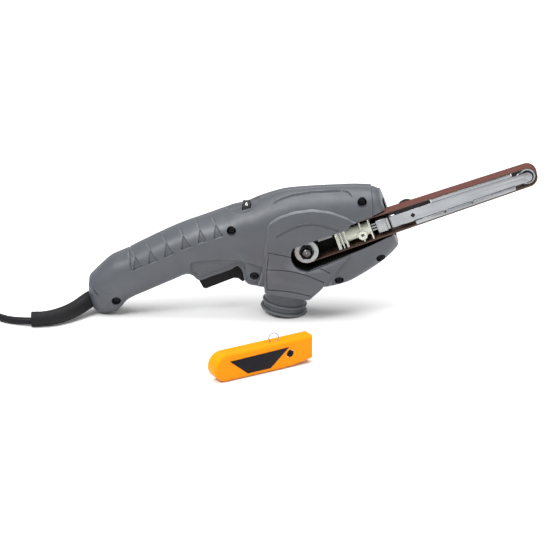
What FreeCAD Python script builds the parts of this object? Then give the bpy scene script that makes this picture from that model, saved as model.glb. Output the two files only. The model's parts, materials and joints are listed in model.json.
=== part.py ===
"""Hand-held belt sander (belt file) for 13 x 457 mm belts, as separate named pieces.

Drawing frame: +X towards the nose of the arm, +Y towards the right side of the tool, +Z up.
Z = 0 is the surface that the tool stands on.  The side with the belt slot faces -Y.
At the end everything moves so that the origin is the bottom centre of the tool's box.
"""
import FreeCAD, Part
import math
import os

V = FreeCAD.Vector
ACROSS = V(0, 1, 0)

# ---- driving dimensions, mm and degrees -------------------------------------------------
BELT_WIDTH = 13.0
BELT_THICK = 0.9
BELT_Y = -15.0                   # middle of the belt
REACH = 199.4                    # drive pulley axis to nose roller axis
PULLEY_R = 10.0
NOSE_R = 7.5
GAP = 0.3                        # air between a moving piece and its neighbour
WALL = 2.5                       # housing wall
PULLEY_X, PULLEY_Z = -3.2, 63.7  # drive pulley axis
ARM_ANGLE = 19.6                 # the arm rises by this much
MOTOR_TILT = 5.0                 # the motor axis rises by this much towards the handle
ARM_STROKE = 5.0                 # how far the arm is pushed back to change a belt
FRONT = 75.0                     # front face of the housing, along the arm
DISC_Y = -27.0                   # near face of the housing body
PORT_X, PORT_BORE_R, PORT_RIM_R, PORT_TILT = -22.8, 15.7, 20.4, 8.4
CORD_R = 3.1

# Housing sections: x, bottom, top, half width, corner radius
HOUSING = [
    (-192, 12, 30, 9, 6), (-187, 4, 38, 14, 9), (-178, 0, 46.5, 17, 12), (-165, 2.5, 54.5, 19, 13),
    (-160, 9, 56.5, 19.5, 14), (-145, 18.5, 64, 20.5, 15), (-125, 28, 74, 21, 15),
    (-105, 35, 82.5, 22, 15), (-96, 31, 85.5, 23, 14), (-82, 36.5, 90.5, 24, 14),
    (-67, 42, 95, 25, 13), (-60, 43, 97.5, 26, 13), (-54, 30, 99.5, 26.5, 12), (-46, 26, 103, 27, 12),
    (-38, 25, 106, 27, 12), (-10, 24, 111.5, 27, 13), (17, 26, 114.5, 27, 14), (35, 32, 115, 27, 14),
    (53, 43, 113.5, 27, 14), (64, 51, 109, 26, 13), (80, 64, 100, 24, 12),
]
TRIGGER_PIVOT = (-59.0, 45.5)
HOUSING_SCREWS = [(-167.5, 15.5), (-67.6, 82.4), (-48, 40.5), (25, 36.4), (60.8, 56.4), (44.2, 107.0)]

ARM = FreeCAD.Placement(V(PULLEY_X, 0, PULLEY_Z), FreeCAD.Rotation(ACROSS, -ARM_ANGLE))
# the motor frame's X runs back from the gear centre along the motor axis
MOTOR = FreeCAD.Placement(V(PULLEY_X, 0, PULLEY_Z), FreeCAD.Rotation(ACROSS, 180 + MOTOR_TILT))


# ---- small builders ---------------------------------------------------------------------
def box(x0, x1, y0, y1, z0, z1):
    return Part.makeBox(x1 - x0, y1 - y0, z1 - z0, V(x0, y0, z0))


def rod(start, end, radius):
    """A round bar from one point to another."""
    a, b = V(*start), V(*end)
    return Part.makeCylinder(radius, (b - a).Length, a, b - a)


def across(x, z, radius, y0, y1):
    """A round bar along Y."""
    return Part.makeCylinder(radius, y1 - y0, V(x, y0, z), ACROSS)


def washer(x, z, outer, inner, y0, y1):
    return across(x, z, outer, y0, y1).cut(across(x, z, inner, y0 - 1, y1 + 1))


def ring_x(x0, x1, outer, inner):
    """A ring about the X axis."""
    return rod((x0, 0, 0), (x1, 0, 0), outer).cut(rod((x0 - 1, 0, 0), (x1 + 1, 0, 0), inner))


def plate(points, y0, y1):
    """A flat plate whose outline is given in X and Z."""
    corners = [V(x, y0, z) for x, z in points]
    return Part.Face(Part.makePolygon(corners + corners[:1])).extrude(V(0, y1 - y0, 0))


def on(placement, shape):
    """The shape, moved from a local frame into the drawing frame."""
    moved = shape.copy()
    moved.Placement = placement.multiply(moved.Placement)
    return moved


def group(solids):
    return Part.Compound([solid for shape in solids for solid in shape.Solids])


def spring(start, length, radius, wire, turns):
    """A coil spring along X from the start point."""
    helix = Part.makeHelix(length / turns, length, radius)
    tip = Part.Wire(Part.Edge(Part.Circle(V(radius, 0, 0), ACROSS, wire)))
    coil = Part.Wire(helix.Edges).makePipeShell([tip], True, True)
    coil.rotate(V(0, 0, 0), ACROSS, 90)
    coil.translate(V(*start))
    return coil


# ---- housing ----------------------------------------------------------------------------
def section(x, low, high, half, corner, inset):
    """A rounded rectangle standing at x, drawn in by the inset."""
    low, high, half = low + inset, high - inset, half - inset
    r = min(max(corner - inset, 1.0), half - 0.5, (high - low) / 2 - 0.5)
    edges = []
    k = r * (1 - math.sqrt(0.5))
    lines = [((-half + r, low), (half - r, low)), ((half, low + r), (half, high - r)),
             ((half - r, high), (-half + r, high)), ((-half, high - r), (-half, low + r))]
    middles = [(half - k, low + k), (half - k, high - k), (-half + k, high - k), (-half + k, low + k)]
    for i, (a, b) in enumerate(lines):
        following = lines[(i + 1) % 4][0]
        edges.append(Part.LineSegment(V(x, *a), V(x, *b)).toShape())
        edges.append(Part.Arc(V(x, *b), V(x, *middles[i]), V(x, *following)).toShape())
    return Part.Wire(edges)


def housing_solid(inset, front):
    """The loft through the sections, cut off square to the arm at the front."""
    rows = [row for row in HOUSING if inset == 0 or row[2] - row[1] > 25]
    body = Part.makeLoft([section(*row, inset) for row in rows], True, True)
    return body.cut(on(ARM, box(front, front + 60, -60, 60, -80, 80)))


def slot_outline(reach_up, reach_down, radius):
    """The belt slot, in the arm frame: round behind the pulley and open towards the front."""
    round_end = across(0, (reach_up - reach_down) / 2, radius, -45, -8)
    run = box(0, FRONT + 20, -45, -8, -reach_down, reach_up)
    return round_end.fuse(run)


def screw_length(x):
    """How deep below the near face a housing screw's head sits: its Y."""
    half = next(b[3] + (a[3] - b[3]) * (b[0] - x) / (b[0] - a[0])
                for a, b in zip(HOUSING, HOUSING[1:]) if a[0] <= x <= b[0])
    return -half + 6.0


def housing_halves():
    shell = housing_solid(0, FRONT).cut(housing_solid(WALL, FRONT - 3))
    # bosses for the screws, and the recesses that the screws go in by
    for x, z in HOUSING_SCREWS:
        boss = across(x, z, 4.9, -30, 30)
        shell = shell.fuse(boss.common(housing_solid(0, FRONT)))
    for x, z in HOUSING_SCREWS:
        head = screw_length(x)
        shell = shell.cut(across(x, z, 3.9, -40, head))
        shell = shell.cut(across(x, z, 1.9, -40, 12))
    # the belt slot in the near wall, and the way out for the arm and belt
    slot = on(ARM, slot_outline(8.8, 14.6, 14.6))
    shell = shell.cut(slot.common(box(-60, 120, -45, -14, 0, 140)))
    shell = shell.cut(on(ARM, box(20, FRONT + 10, -45, -24, -14.6, 11.7)))
    shell = shell.cut(on(ARM, box(FRONT - 10, FRONT + 10, -45, -6.2, -13.6, 13.4)))
    # the trigger well, the dial slot, the dust way and the cord inlet
    shell = shell.cut(box(-100, -55.5, -9.3, 9.3, 15, 48))
    shell = shell.cut(across(*TRIGGER_PIVOT, 1.52, -13, 13))
    shell = shell.cut(box(-58.7, -51.0, -8.0, 8.0, 85, 110))
    shell = shell.cut(box(-64.2, -58.6, -3.6, 3.6, 85, 96.1))
    shell = shell.cut(rod(port_point(-4), port_point(40), PORT_BORE_R))
    shell = shell.cut([rod((-200, 0, 14.5), (-180, 0, 14.5), 7.8), sleeve_loft(7.7, 6.5), cord_collar(0.2)])
    left = shell.common(box(-220, 120, -60, 0, -20, 160))
    right = shell.common(box(-220, 120, 0, 60, -20, 160))
    return left, right


def dust_chute():
    """The raised panel over the dust duct on the near face."""
    top = [(-34.6, 88), (-26, 92.5), (-14, 96), (1.7, 97.7), (16.6, 96.8), (30, 93.8), (38.6, 91)]
    bottom = [(26, 54), (9, 27), (-0.3, 27), (-36, 31), (-40, 31), (-39.5, 60)]
    panel = plate(top + bottom, DISC_Y - 1.3, DISC_Y - 0.01)
    return panel.cut(on(ARM, slot_outline(8.8, 14.6, 14.6)))


def port_point(distance):
    """A point on the dust port's axis, measured up from the rim's face."""
    t = math.radians(PORT_TILT)
    base = PORT_RIM_R * math.sin(t) - 1.0
    return (PORT_X + distance * math.sin(t), 0, base + distance * math.cos(t))


def dust_port():
    """Neck, tube, ridge and rim of the dust port; the rim's low edge is ground flat."""
    def ring(low, high, radius):
        return rod(port_point(low), port_point(high), radius)
    neck_axis = V(*port_point(1)) - V(*port_point(0))
    neck = Part.makeCone(17.6, 21.5, 10, V(*port_point(14)), neck_axis)
    port = ring(0, 15, 17.6).fuse([ring(0, 3, PORT_RIM_R), ring(6.5, 9, 19.2), neck])
    port = port.cut(ring(-5, 40, PORT_BORE_R))
    port = port.cut(housing_solid(0, FRONT))
    return port.cut(box(-60, 20, -30, 30, -20, 0)).removeSplitter()


def housing_screws():
    screws = []
    for x, z in HOUSING_SCREWS:
        head = screw_length(x)
        screw = across(x, z, 3.5, head + 0.05, head + 2.6).fuse(across(x, z, 1.7, head + 1, 11.5))
        # the head bears on a step, so its seat is cut back to the boss floor
        screw.translate(V(0, -2.7, 0))
        cross = box(x - 2, x + 2, head - 4, head - 1.6, z - 0.4, z + 0.4)
        cross = cross.fuse(box(x - 0.4, x + 0.4, head - 4, head - 1.6, z - 2, z + 2))
        screws.append(screw.cut(cross))
    return group(screws)


# ---- motor and gears, in the motor frame: X runs back from the gear centre --------------
PINION_TEETH, GEAR_TEETH, MODULE = 12, 26, 1.0
PINION_R = PINION_TEETH * MODULE / 2
GEAR_R = GEAR_TEETH * MODULE / 2
TOOTH_FACE = 0.62                # inner end of a tooth, as a part of its cone distance


def bevel(teeth, radius, height, hub_r, hub_length, bore_r, phase):
    """A straight bevel gear about +X, apex at the origin, pitch circle at x = height."""
    slope = math.atan2(radius, height)
    back = V(-math.sin(slope), 0, math.cos(slope))       # outwards along the back cone

    def ring_point(depth, scale):
        p = V(height, 0, radius) + back * depth
        return p * scale

    root, tip = -1.15 * MODULE, 0.8 * MODULE
    profile = [ring_point(root, 1.0), ring_point(root, TOOTH_FACE)]
    inner_x = profile[1].x
    outline = [V(inner_x, 0, bore_r), profile[1], profile[0], V(profile[0].x + hub_length, 0, hub_r),
               V(profile[0].x + hub_length, 0, bore_r)]
    blank = Part.Face(Part.makePolygon(outline + outline[:1])).revolve(V(0, 0, 0), V(1, 0, 0), 360)

    def tooth_wire(scale):
        corners = []
        for depth, width in ((root - 0.25, 0.95), (tip, 0.36), (tip, -0.36), (root - 0.25, -0.95)):
            p = ring_point(depth, scale)
            corners.append(V(p.x, width * MODULE * scale, p.z))
        return Part.makePolygon(corners + corners[:1])
    tooth = Part.makeLoft([tooth_wire(1.0), tooth_wire(TOOTH_FACE)], True, True)
    solid = blank
    for i in range(teeth):
        one = tooth.copy()
        one.rotate(V(0, 0, 0), V(1, 0, 0), 360.0 * (i + phase) / teeth)
        solid = solid.fuse(one)
    return solid.removeSplitter()


def pinion():
    return on(MOTOR, bevel(PINION_TEETH, PINION_R, GEAR_R, 4.6, 4.0, 2.51, 0.0))


def drive_gear():
    """The large gear stands on the +Y side of the gear centre."""
    gear = bevel(GEAR_TEETH, GEAR_R, PINION_R, 7.5, 5.0, 4.01, 0.0)
    # X of the gear's own frame becomes +Y, and a gap between two teeth faces the pinion
    gear.rotate(V(0, 0, 0), V(0, 0, 1), 90)
    gear.rotate(V(0, 0, 0), ACROSS, -90 + MOTOR_TILT + 180.0 / GEAR_TEETH)
    gear.translate(V(PULLEY_X, 0, PULLEY_Z))
    return gear


def motor_shaft():
    return on(MOTOR, rod((9.5, 0, 0), (82, 0, 0), 2.5))


def armature_core():
    core = ring_x(33.5, 56.5, 11.4, 2.52)
    slots = []
    for i in range(12):
        slot = box(33, 57, -0.7, 0.7, 6.5, 12)
        slot.rotate(V(0, 0, 0), V(1, 0, 0), 30 * i)
        slots.append(slot)
    return on(MOTOR, core.cut(slots))


def commutator():
    bars = ring_x(62, 71, 7.0, 2.52)
    cuts = []
    for i in range(16):
        cut = box(62.5, 72, -0.2, 0.2, 6.2, 8)
        cut.rotate(V(0, 0, 0), V(1, 0, 0), 22.5 * i)
        cuts.append(cut)
    return on(MOTOR, bars.cut(cuts))


def fan():
    hub = ring_x(26, 29.4, 6.5, 2.52).fuse(ring_x(28.6, 29.4, 17.5, 2.52))
    blades = []
    for i in range(10):
        blade = box(26, 29, -0.6, 0.6, 6, 17.3)
        blade.rotate(V(0, 0, 0), V(1, 0, 0), 36 * i)
        blades.append(blade)
    return on(MOTOR, hub.fuse(blades))


def bearing(x0, x1, outer, inner):
    """A ball bearing about X: two rings with a row of balls between them."""
    middle = (outer + inner) / 2
    races = [ring_x(x0, x1, outer, middle + 0.9), ring_x(x0, x1, middle - 0.9, inner)]
    shields = [ring_x(x0 + 0.3, x0 + 0.6, middle + 0.89, middle - 0.89)]
    balls = []
    for i in range(8):
        angle = math.radians(45 * i)
        place = V((x0 + x1) / 2, middle * math.cos(angle), middle * math.sin(angle))
        balls.append(Part.makeSphere(0.85, place))
    return group(races + shields + balls)


def field_core():
    return on(MOTOR, ring_x(33, 57, 18, 12))


def field_coils():
    rings = []
    for x0, x1 in ((30, 32.95), (57.05, 59.8)):
        ring = ring_x(x0, x1, 16.4, 12.4)
        rings.append(ring.cut(box(x0 - 1, x1 + 1, -2, 2, -20, 20)))
    return group([on(MOTOR, ring) for ring in rings])


def brush_holders():
    holders = []
    for side in (-1, 1):
        tube = box(63.6, 70.4, 8.2, 19, -3.6, 3.6).cut(box(65, 69, 8, 20, -2.2, 2.2))
        if side < 0:
            tube = tube.mirror(V(0, 0, 0), ACROSS)
        holders.append(on(MOTOR, tube))
    return group(holders)


def carbon_brushes():
    brushes = []
    for side in (-1, 1):
        block = box(65.05, 68.95, 7.3, 15, -2.15, 2.15)
        if side < 0:
            block = block.mirror(V(0, 0, 0), ACROSS)
        brushes.append(on(MOTOR, block))
    return group(brushes)


def gearbox_plate():
    """The cast bracket that carries the front motor bearing and the drive shaft bearings."""
    motor_wall = box(19.4, 24.4, -22, 22, -19, 19).cut(rod((18, 0, 0), (26, 0, 0), 9.52))
    shaft_wall = across(0, 0, 16, -5.6, -1.0).cut(across(0, 0, 7.22, -7, 4))
    feet = [box(5, 21, -5.6, -1.0, z, z + 6) for z in (-16, 10)]
    bracket = motor_wall.fuse([shaft_wall] + feet)
    return on(MOTOR, bracket.cut([rod((7, 0, 0), (19.3, 0, 0), 8.4), rod((19, 0, 0), (26, 0, 0), 9.52)]))


# ---- belt drive -------------------------------------------------------------------------
def drive_shaft():
    shaft = across(0, 0, 4.0, -23.5, 14)
    return on(ARM, shaft.fuse(across(0, 0, 2.5, -27.6, -23)))


def shaft_bearing():
    """Ball bearing of the drive shaft, pressed into the gearbox bracket."""
    ball_race = bearing(-5.5, -1.2, 7.2, 4.01)
    ball_race.rotate(V(0, 0, 0), V(0, 0, 1), 90)
    ball_race.translate(V(PULLEY_X, 0, PULLEY_Z))
    return ball_race


def drive_pulley():
    """The rubber-faced pulley, a little larger in the middle so that the belt stays on."""
    wheel = washer(0, 0, PULLEY_R - 0.25, 4.01, -22, -8)
    crown = washer(0, 0, PULLEY_R, 9, -18, -12)
    return on(ARM, wheel.fuse(crown))


def pulley_washer():
    return on(ARM, washer(0, 0, 10.4, 4.02, -23.4, -22.0))


def pulley_nut():
    corners = [(6.8 * math.cos(math.radians(60 * i + 30)), 6.8 * math.sin(math.radians(60 * i + 30)))
               for i in range(6)]
    nut = plate(corners, -27.2, -23.5)
    return on(ARM, nut.cut(across(0, 0, 2.52, -30, -20)))


def pulley_screw():
    head = across(0, 0, 3.6, -28.6, -27.65)
    return on(ARM, head.cut(box(-0.4, 0.4, -30, -28, -2, 2)).cut(box(-2, 2, -30, -28, -0.4, 0.4)))


def loop_face(r1, r2, y):
    """A face whose edge runs round the pulley and the nose roller like a belt."""
    lean = math.asin((r1 - r2) / REACH)
    s, c = math.sin(lean), math.cos(lean)
    upper = (V(r1 * s, y, r1 * c), V(REACH + r2 * s, y, r2 * c))
    lower = (V(r1 * s, y, -r1 * c), V(REACH + r2 * s, y, -r2 * c))
    edges = [Part.LineSegment(upper[0], upper[1]).toShape(),
             Part.Arc(upper[1], V(REACH + r2, y, 0), lower[1]).toShape(),
             Part.LineSegment(lower[1], lower[0]).toShape(),
             Part.Arc(lower[0], V(-r1, y, 0), upper[0]).toShape()]
    return Part.Face(Part.Wire(edges))


def belt_loop(offset, thick, y0, y1):
    outer = loop_face(PULLEY_R + offset + thick, NOSE_R + offset + thick, y0).extrude(V(0, y1 - y0, 0))
    inner = loop_face(PULLEY_R + offset, NOSE_R + offset, y0 - 1).extrude(V(0, y1 - y0 + 2, 0))
    return outer.cut(inner)


def sanding_belt():
    half = BELT_WIDTH / 2
    return on(ARM, belt_loop(GAP, BELT_THICK, BELT_Y - half, BELT_Y + half))


def belt_guard():
    """A steel strip beside the upper run of the belt, just inside the slot."""
    return on(ARM, box(12.5, 25.5, -24.2, -23.2, 5.4, 12.0))


# ---- arm, in the arm frame: X along the arm, Z square to it -----------------------------
PLATE_Y0, PLATE_Y1 = -20.6, -19.2


def tension_carrier():
    """Nylon slider with three flanges, a barrel and a screw boss."""
    flanges = [box(27, 29.5, -21, -9, -9, 9), box(34.5, 36.2, -21, -9, -9, 9), box(57.6, 58.8, -21, -9, -9, 9),
               box(31.4, 32.4, -21, -9, -9, 9)]
    core = box(29, 35, -18, -10, -6, 6)
    barrel = rod((36, BELT_Y, 0), (58, BELT_Y, 0), 5.6)
    boss = across(50.2, -2.7, 4.0, -22.3, BELT_Y)
    web = box(49.6, 50.8, -20.8, -16, -9, 9)
    body = flanges[0].fuse(flanges[1:] + [core, barrel, boss, web])
    bore = rod((35, BELT_Y, 0), (49.5, BELT_Y, 0), 4.2)
    post_way = box(33.5, 48.5, BELT_Y, 0, -2.5, 2.5)
    body = body.cut([bore, post_way, across(50.2, -2.7, 1.6, -23, -18)])
    return on(ARM, body)


def spring_post():
    return on(ARM, across(40.8, 0, 1.9, BELT_Y - 2.0, -5.65))


def tension_spring():
    return on(ARM, spring((43.3, BELT_Y, 0), 5.4, 3.0, 0.45, 3))


def guide_rods():
    rods = [rod((58.85, -17.5, h), (63.95, -17.5, h), 0.9) for h in (-2.4, 0.2, 2.8)]
    return on(ARM, group(rods))


def arm_block():
    return on(ARM, box(64, 72.8, -20.6, -11, -6, 5.5))


def belt_arm():
    """The long steel plate, with its diamond hole and the eye at the nose."""
    blade = box(72.85, REACH, PLATE_Y0, PLATE_Y1, -5.0, 5.2)
    blade = blade.fuse(across(REACH, 0, 4.3, PLATE_Y0, PLATE_Y1))
    narrow = box(REACH - 12, REACH + 6, PLATE_Y0 - 1, PLATE_Y1 + 1, 4.3, 7)
    diamond = box(-1.6, 1.6, PLATE_Y0 - 1, PLATE_Y1 + 1, -1.6, 1.6)
    diamond.rotate(V(0, 0, 0), ACROSS, 45)
    diamond.translate(V(96.4, 0, 0))
    blade = blade.cut([narrow, narrow.mirror(V(0, 0, 0), V(0, 0, 1)), diamond])
    blade = blade.cut(across(REACH, 0, 1.51, PLATE_Y0 - 1, PLATE_Y1 + 1))
    rib = box(80, 186, PLATE_Y1, PLATE_Y1 + 6, -1.2, 0)
    return on(ARM, blade.fuse(rib))


def platen_surface(s):
    """Height of the belt's inner face above the arm line, less the running gap."""
    lean = math.asin((PULLEY_R - NOSE_R) / REACH)
    return (PULLEY_R - s * math.sin(lean)) / math.cos(lean)


def platen(s0, s1, side, skirt):
    """A thin strip under the belt with its near edge folded towards the arm."""
    a, b = platen_surface(s0), platen_surface(s1)
    sheet = plate([(s0, side * a), (s1, side * b), (s1, side * (b - 0.9)), (s0, side * (a - 0.9))], -20.6, -9.4)
    fold = plate([(s0, side * a), (s1, side * b), (s1, side * (b - skirt)), (s0, side * (a - skirt))],
                 -21.6, -20.65)
    joint = plate([(s0, side * a), (s1, side * b), (s1, side * (b - 0.9)), (s0, side * (a - 0.9))], -21.6, -20.5)
    return sheet.fuse([fold, joint]).removeSplitter()


def upper_platen():
    return on(ARM, platen(115, 186.5, 1, 2.6))


def lower_platen():
    strip = platen(97, 187, -1, 3.4)
    notches = []
    for s in (123.7, 148):
        top = platen_surface(s) - 3.5
        notches.append(plate([(s - 1.5, -top), (s + 1.5, -top), (s, -top - 2.2)], -23, -20.6))
    return on(ARM, strip.cut(notches))


def nose_roller():
    roller = washer(REACH, 0, NOSE_R, 1.55, -18.9, -9.2)
    groove = washer(REACH, 0, 5.4, 4.5, -20, -18.0)
    return on(ARM, roller.cut(groove))


def nose_axle():
    axle = across(REACH, 0, 1.5, PLATE_Y0 - 0.6, -9.0)
    return on(ARM, axle.fuse(across(REACH, 0, 2.2, PLATE_Y0 - 0.6, PLATE_Y0 - 0.02)))


def guide_plate():
    """Black plate on the front face; the arm slides through the window in its tongue."""
    post = box(FRONT + 0.05, FRONT + 1.2, -7.9, 2, -16.6, 15.4)
    tongue = box(FRONT + 0.05, FRONT + 1.2, -22.2, -7, -7.4, 7.4)
    window = box(FRONT - 1, FRONT + 3, -21.0, -12.6, -5.6, 5.8)
    return on(ARM, post.fuse(tongue).cut(window).removeSplitter())


def tracking_knob():
    """Fluted knob behind the arm that steers the belt, with its screw into the rib side."""
    knob = across(91.5, -2, 9, -6.5, 6)
    flutes = []
    for i in range(16):
        angle = math.radians(22.5 * i)
        flutes.append(across(91.5 + 9.3 * math.cos(angle), -2 + 9.3 * math.sin(angle), 0.9, -7, 4.5))
    stem = across(91.5, -2, 2.4, -12.9, -6)
    return on(ARM, knob.cut(flutes).fuse(stem))


def tracking_bracket():
    """Steel tab riveted to the arm plate; the tracking knob turns against it."""
    tab = box(87.5, 95.5, PLATE_Y1 + 0.02, -13.2, -6.0, -1.25)
    return on(ARM, tab)


# ---- handle pieces ----------------------------------------------------------------------
DIAL_Z, DIAL_R = 94.5, 7.5


def trigger():
    """Long finger lever, hinged at its front end."""
    outline = [(-96.5, 33), (-92.5, 25), (-90, 24.2), (-66, 34), (-62, 33.6), (-58, 30.5), (-56.6, 32),
               (-56.4, 46), (-61, 48.4), (-67, 47.5), (-93, 39.5), (-96.5, 38)]
    lever = plate(outline, -8.6, 8.6)
    x, z = TRIGGER_PIVOT
    return lever.cut(across(x, z, 1.6, -10, 10))


def trigger_pin():
    x, z = TRIGGER_PIVOT
    return across(x, z, 1.5, -12.5, 12.5)


def switch_body():
    return box(-101, -76, -8, 8, 49, 60.5).fuse(rod((-88, 0, 49.5), (-88, 0, 47.2), 2.0))


def trigger_spring():
    coil = spring((0, 0, 0), 3.9, 2.6, 0.35, 3)
    coil.rotate(V(0, 0, 0), ACROSS, -90)
    coil.translate(V(-82.4, 0, 44.4))
    return coil


def speed_dial():
    """Thumb wheel whose rim stands out of the recess on top."""
    wheel = rod((-58, 0, DIAL_Z), (-51.5, 0, DIAL_Z), DIAL_R)
    ribs = []
    for i in range(18):
        rib = box(-58, -51.5, -0.25, 0.25, DIAL_R - 0.4, DIAL_R + 1)
        rib.rotate(V(0, 0, 0), V(1, 0, 0), 20 * i)
        rib.translate(V(0, 0, DIAL_Z))
        ribs.append(rib)
    return wheel.cut(ribs)


def dial_regulator():
    """The small rotary control that carries the dial."""
    case = box(-63.8, -60.4, -3.2, 3.2, 88.6, 95.3)
    return case.fuse(rod((-60.5, 0, DIAL_Z), (-58.05, 0, DIAL_Z), 1.5))


def speed_board():
    """Control board in the grip, with its heat sink."""
    board = box(-122, -96, -11, 11, 65, 66.6)
    return board.fuse(box(-118, -112, -9, 9, 66.5, 71))


def cord_clamp():
    return box(-160, -150, -9, 9, 24, 27).cut(clamp_screws())


def clamp_screws():
    screws = []
    for side in (-1, 1):
        shank = rod((-155, side * 6, 18), (-155, side * 6, 28), 1.5)
        screws.append(shank.fuse(rod((-155, side * 6, 27), (-155, side * 6, 29), 2.6)))
    return group(screws)


# ---- cord -------------------------------------------------------------------------------
SLEEVE_PATH = [(-183, 0, 14.5), (-190, -2.5, 13), (-199, -13, 9.6), (-208, -23, 8.0), (-219, -31, 7.0),
               (-230, -35, 6.5), (-240, -35, 6.3)]
COIL_X, COIL_Y, COIL_LIFT = -345.0, 30.0, 0.0
COIL_IN, COIL_OUT, COIL_HIGH = 22.0, 48.0, 12.6
LEAD_ROUTE = [(-236, -35, 4.6), (-254, -32, 3.2), (-270, -22, 3.2), (-281, -6, 3.2), (-287, 13, 3.2),
              (-295, 31, 3.2)]
PLUG_ROUTE = [(-318, 69.5, 9.0), (-332, 79, 4.2), (-349, 86, 3.2), (-366, 91, 3.2)]
PLUG_AT = (-366.0, 91.0)
PLUG_TURN = 162.0                # heading of the plug in plan


def sleeve_loft(first, last):
    """Loft of circles along the sleeve's line; the radius goes from first to last."""
    points = [V(*p) for p in SLEEVE_PATH]
    wires = []
    for i, p in enumerate(points):
        ahead = points[min(i + 1, len(points) - 1)] - points[max(i - 1, 0)]
        part = i / (len(points) - 1.0)
        circle = Part.Circle(p, ahead, first + (last - first) * part)
        wires.append(Part.Wire(circle.toShape()))
    return Part.makeLoft(wires, True, True)


def cord_collar(room):
    """The sleeve's flange, held in a groove of the housing."""
    return rod((-184.5 - room, 0, 14.5), (-181.5 + room, 0, 14.5), 9.6 + room)


def cord_sleeve():
    sleeve = sleeve_loft(7.4, 6.2)
    mouth = V(*SLEEVE_PATH[-1])
    along = mouth - V(*SLEEVE_PATH[-2])
    bore = Part.makeCone(3.2, 4.9, 13, mouth - along * (12.0 / along.Length), along)
    return sleeve.cut(bore).fuse(cord_collar(0)).cut(box(-260, -160, -80, 20, -5, 0))


def rounded_path(points, label):
    """Straight runs joined by tangent arcs, each as large as its two runs allow."""
    points = [V(*p) for p in points]
    edges = []
    start = points[0]
    radii = []
    for before, corner, after in zip(points, points[1:], points[2:]):
        back, ahead = before - corner, after - corner
        half_turn = (math.pi - back.getAngle(ahead)) / 2
        trim = 0.45 * min(back.Length, ahead.Length)
        radius = trim / math.tan(half_turn)
        radii.append(round(radius, 1))
        back.normalize()
        ahead.normalize()
        first, last = corner + back * trim, corner + ahead * trim
        inward = back + ahead
        inward.normalize()
        middle = corner + inward * (radius / math.cos(half_turn) - radius)
        edges.append(Part.LineSegment(start, first).toShape())
        edges.append(Part.Arc(first, middle, last).toShape())
        start = last
    edges.append(Part.LineSegment(start, points[-1]).toShape())
    print(label, "bend radii", radii)
    return Part.Wire(edges)


def tube(points, label):
    path = rounded_path(points, label)
    direction = V(*points[1]) - V(*points[0])
    tip = Part.Wire(Part.Circle(V(*points[0]), direction, CORD_R).toShape())
    solid = path.makePipeShell([tip], True, False)
    expected = math.pi * CORD_R ** 2 * path.Length
    print(label, "length", round(path.Length, 1), "volume / expected", round(solid.Volume / expected, 4))
    return solid


def mains_cord():
    return group([tube(LEAD_ROUTE, "lead"), tube(PLUG_ROUTE, "plug end")])


def cord_coil():
    """Outer shape of the coiled length."""
    ring = Part.makeCylinder(COIL_OUT, COIL_HIGH, V(COIL_X, COIL_Y, COIL_LIFT))
    return ring.cut(Part.makeCylinder(COIL_IN, COIL_HIGH + 2, V(COIL_X, COIL_Y, COIL_LIFT - 1)))


def cord_tie():
    """Strap over the coil, down to the surface on both sides."""
    outer = box(COIL_IN - 2.2, COIL_OUT + 1.6, -6, 6, 0, COIL_HIGH + 1.6)
    inner = box(COIL_IN - 0.9, COIL_OUT + 0.3, -7, 7, -1, COIL_HIGH + 0.3)
    strap = outer.cut(inner)
    strap.rotate(V(0, 0, 0), V(0, 0, 1), 200)
    strap.translate(V(COIL_X, COIL_Y, 0))
    return strap


def in_plug(shape):
    """Plug frame to drawing frame: X is the way the pins point."""
    shape.rotate(V(0, 0, 0), V(0, 0, 1), PLUG_TURN)
    shape.translate(V(PLUG_AT[0], PLUG_AT[1], 0))
    return shape


def plug_body():
    """Flat two-pin plug with a tapered grip."""
    grip = Part.makeCone(4.4, 8.0, 22, V(0.05, 0, 8.2), V(1, 0, 0))
    head = box(20, 34, -17.5, 17.5, 1.2, 15.2)
    edges = [e for e in head.Edges if abs(e.tangentAt(e.FirstParameter).x) > 0.9]
    head = head.makeFillet(5.5, edges)
    return in_plug(grip.fuse(head).cut(box(-5, 30, -20, 20, -5, 0)))


def plug_pins():
    pins = []
    for side in (-1, 1):
        pins.append(in_plug(rod((34.02, side * 9.5, 8.2), (53, side * 9.5, 8.2), 2.0)))
    return group(pins)


# ---- belt cover, taken off and standing in front of the tool ------------------------------
COVER_LENGTH, COVER_HIGH, COVER_DEEP, COVER_WALL = 95.0, 24.0, 13.0, 1.8
COVER_AT, COVER_TURN = (-79.5, -166.0), 31.0
COVER_SCREW = (72.5, 12.5)
LABEL_CORNERS = [(14, 17.6), (71, 18.6), (53, 3.6), (31, 3.6)]


def in_cover(shape):
    shape.rotate(V(0, 0, 0), V(0, 0, 1), COVER_TURN)
    shape.translate(V(COVER_AT[0], COVER_AT[1], 0))
    return shape


def cover_outline(inset):
    """Side outline: round at one end, square at the other, rising below the square end."""
    high, end = COVER_HIGH - inset, COVER_LENGTH - inset
    radius = COVER_HIGH / 2 - inset
    middle = COVER_HIGH / 2
    edges = [Part.LineSegment(V(middle, 0, high), V(end, 0, high)).toShape(),
             Part.LineSegment(V(end, 0, high), V(end, 0, inset + 4.0)).toShape(),
             Part.Arc(V(end, 0, inset + 4.0), V(78, 0, inset + 1.0), V(62, 0, inset)).toShape(),
             Part.LineSegment(V(62, 0, inset), V(middle, 0, inset)).toShape(),
             Part.Arc(V(middle, 0, inset), V(middle - radius, 0, middle), V(middle, 0, high)).toShape()]
    return Part.Face(Part.Wire(edges))


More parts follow.
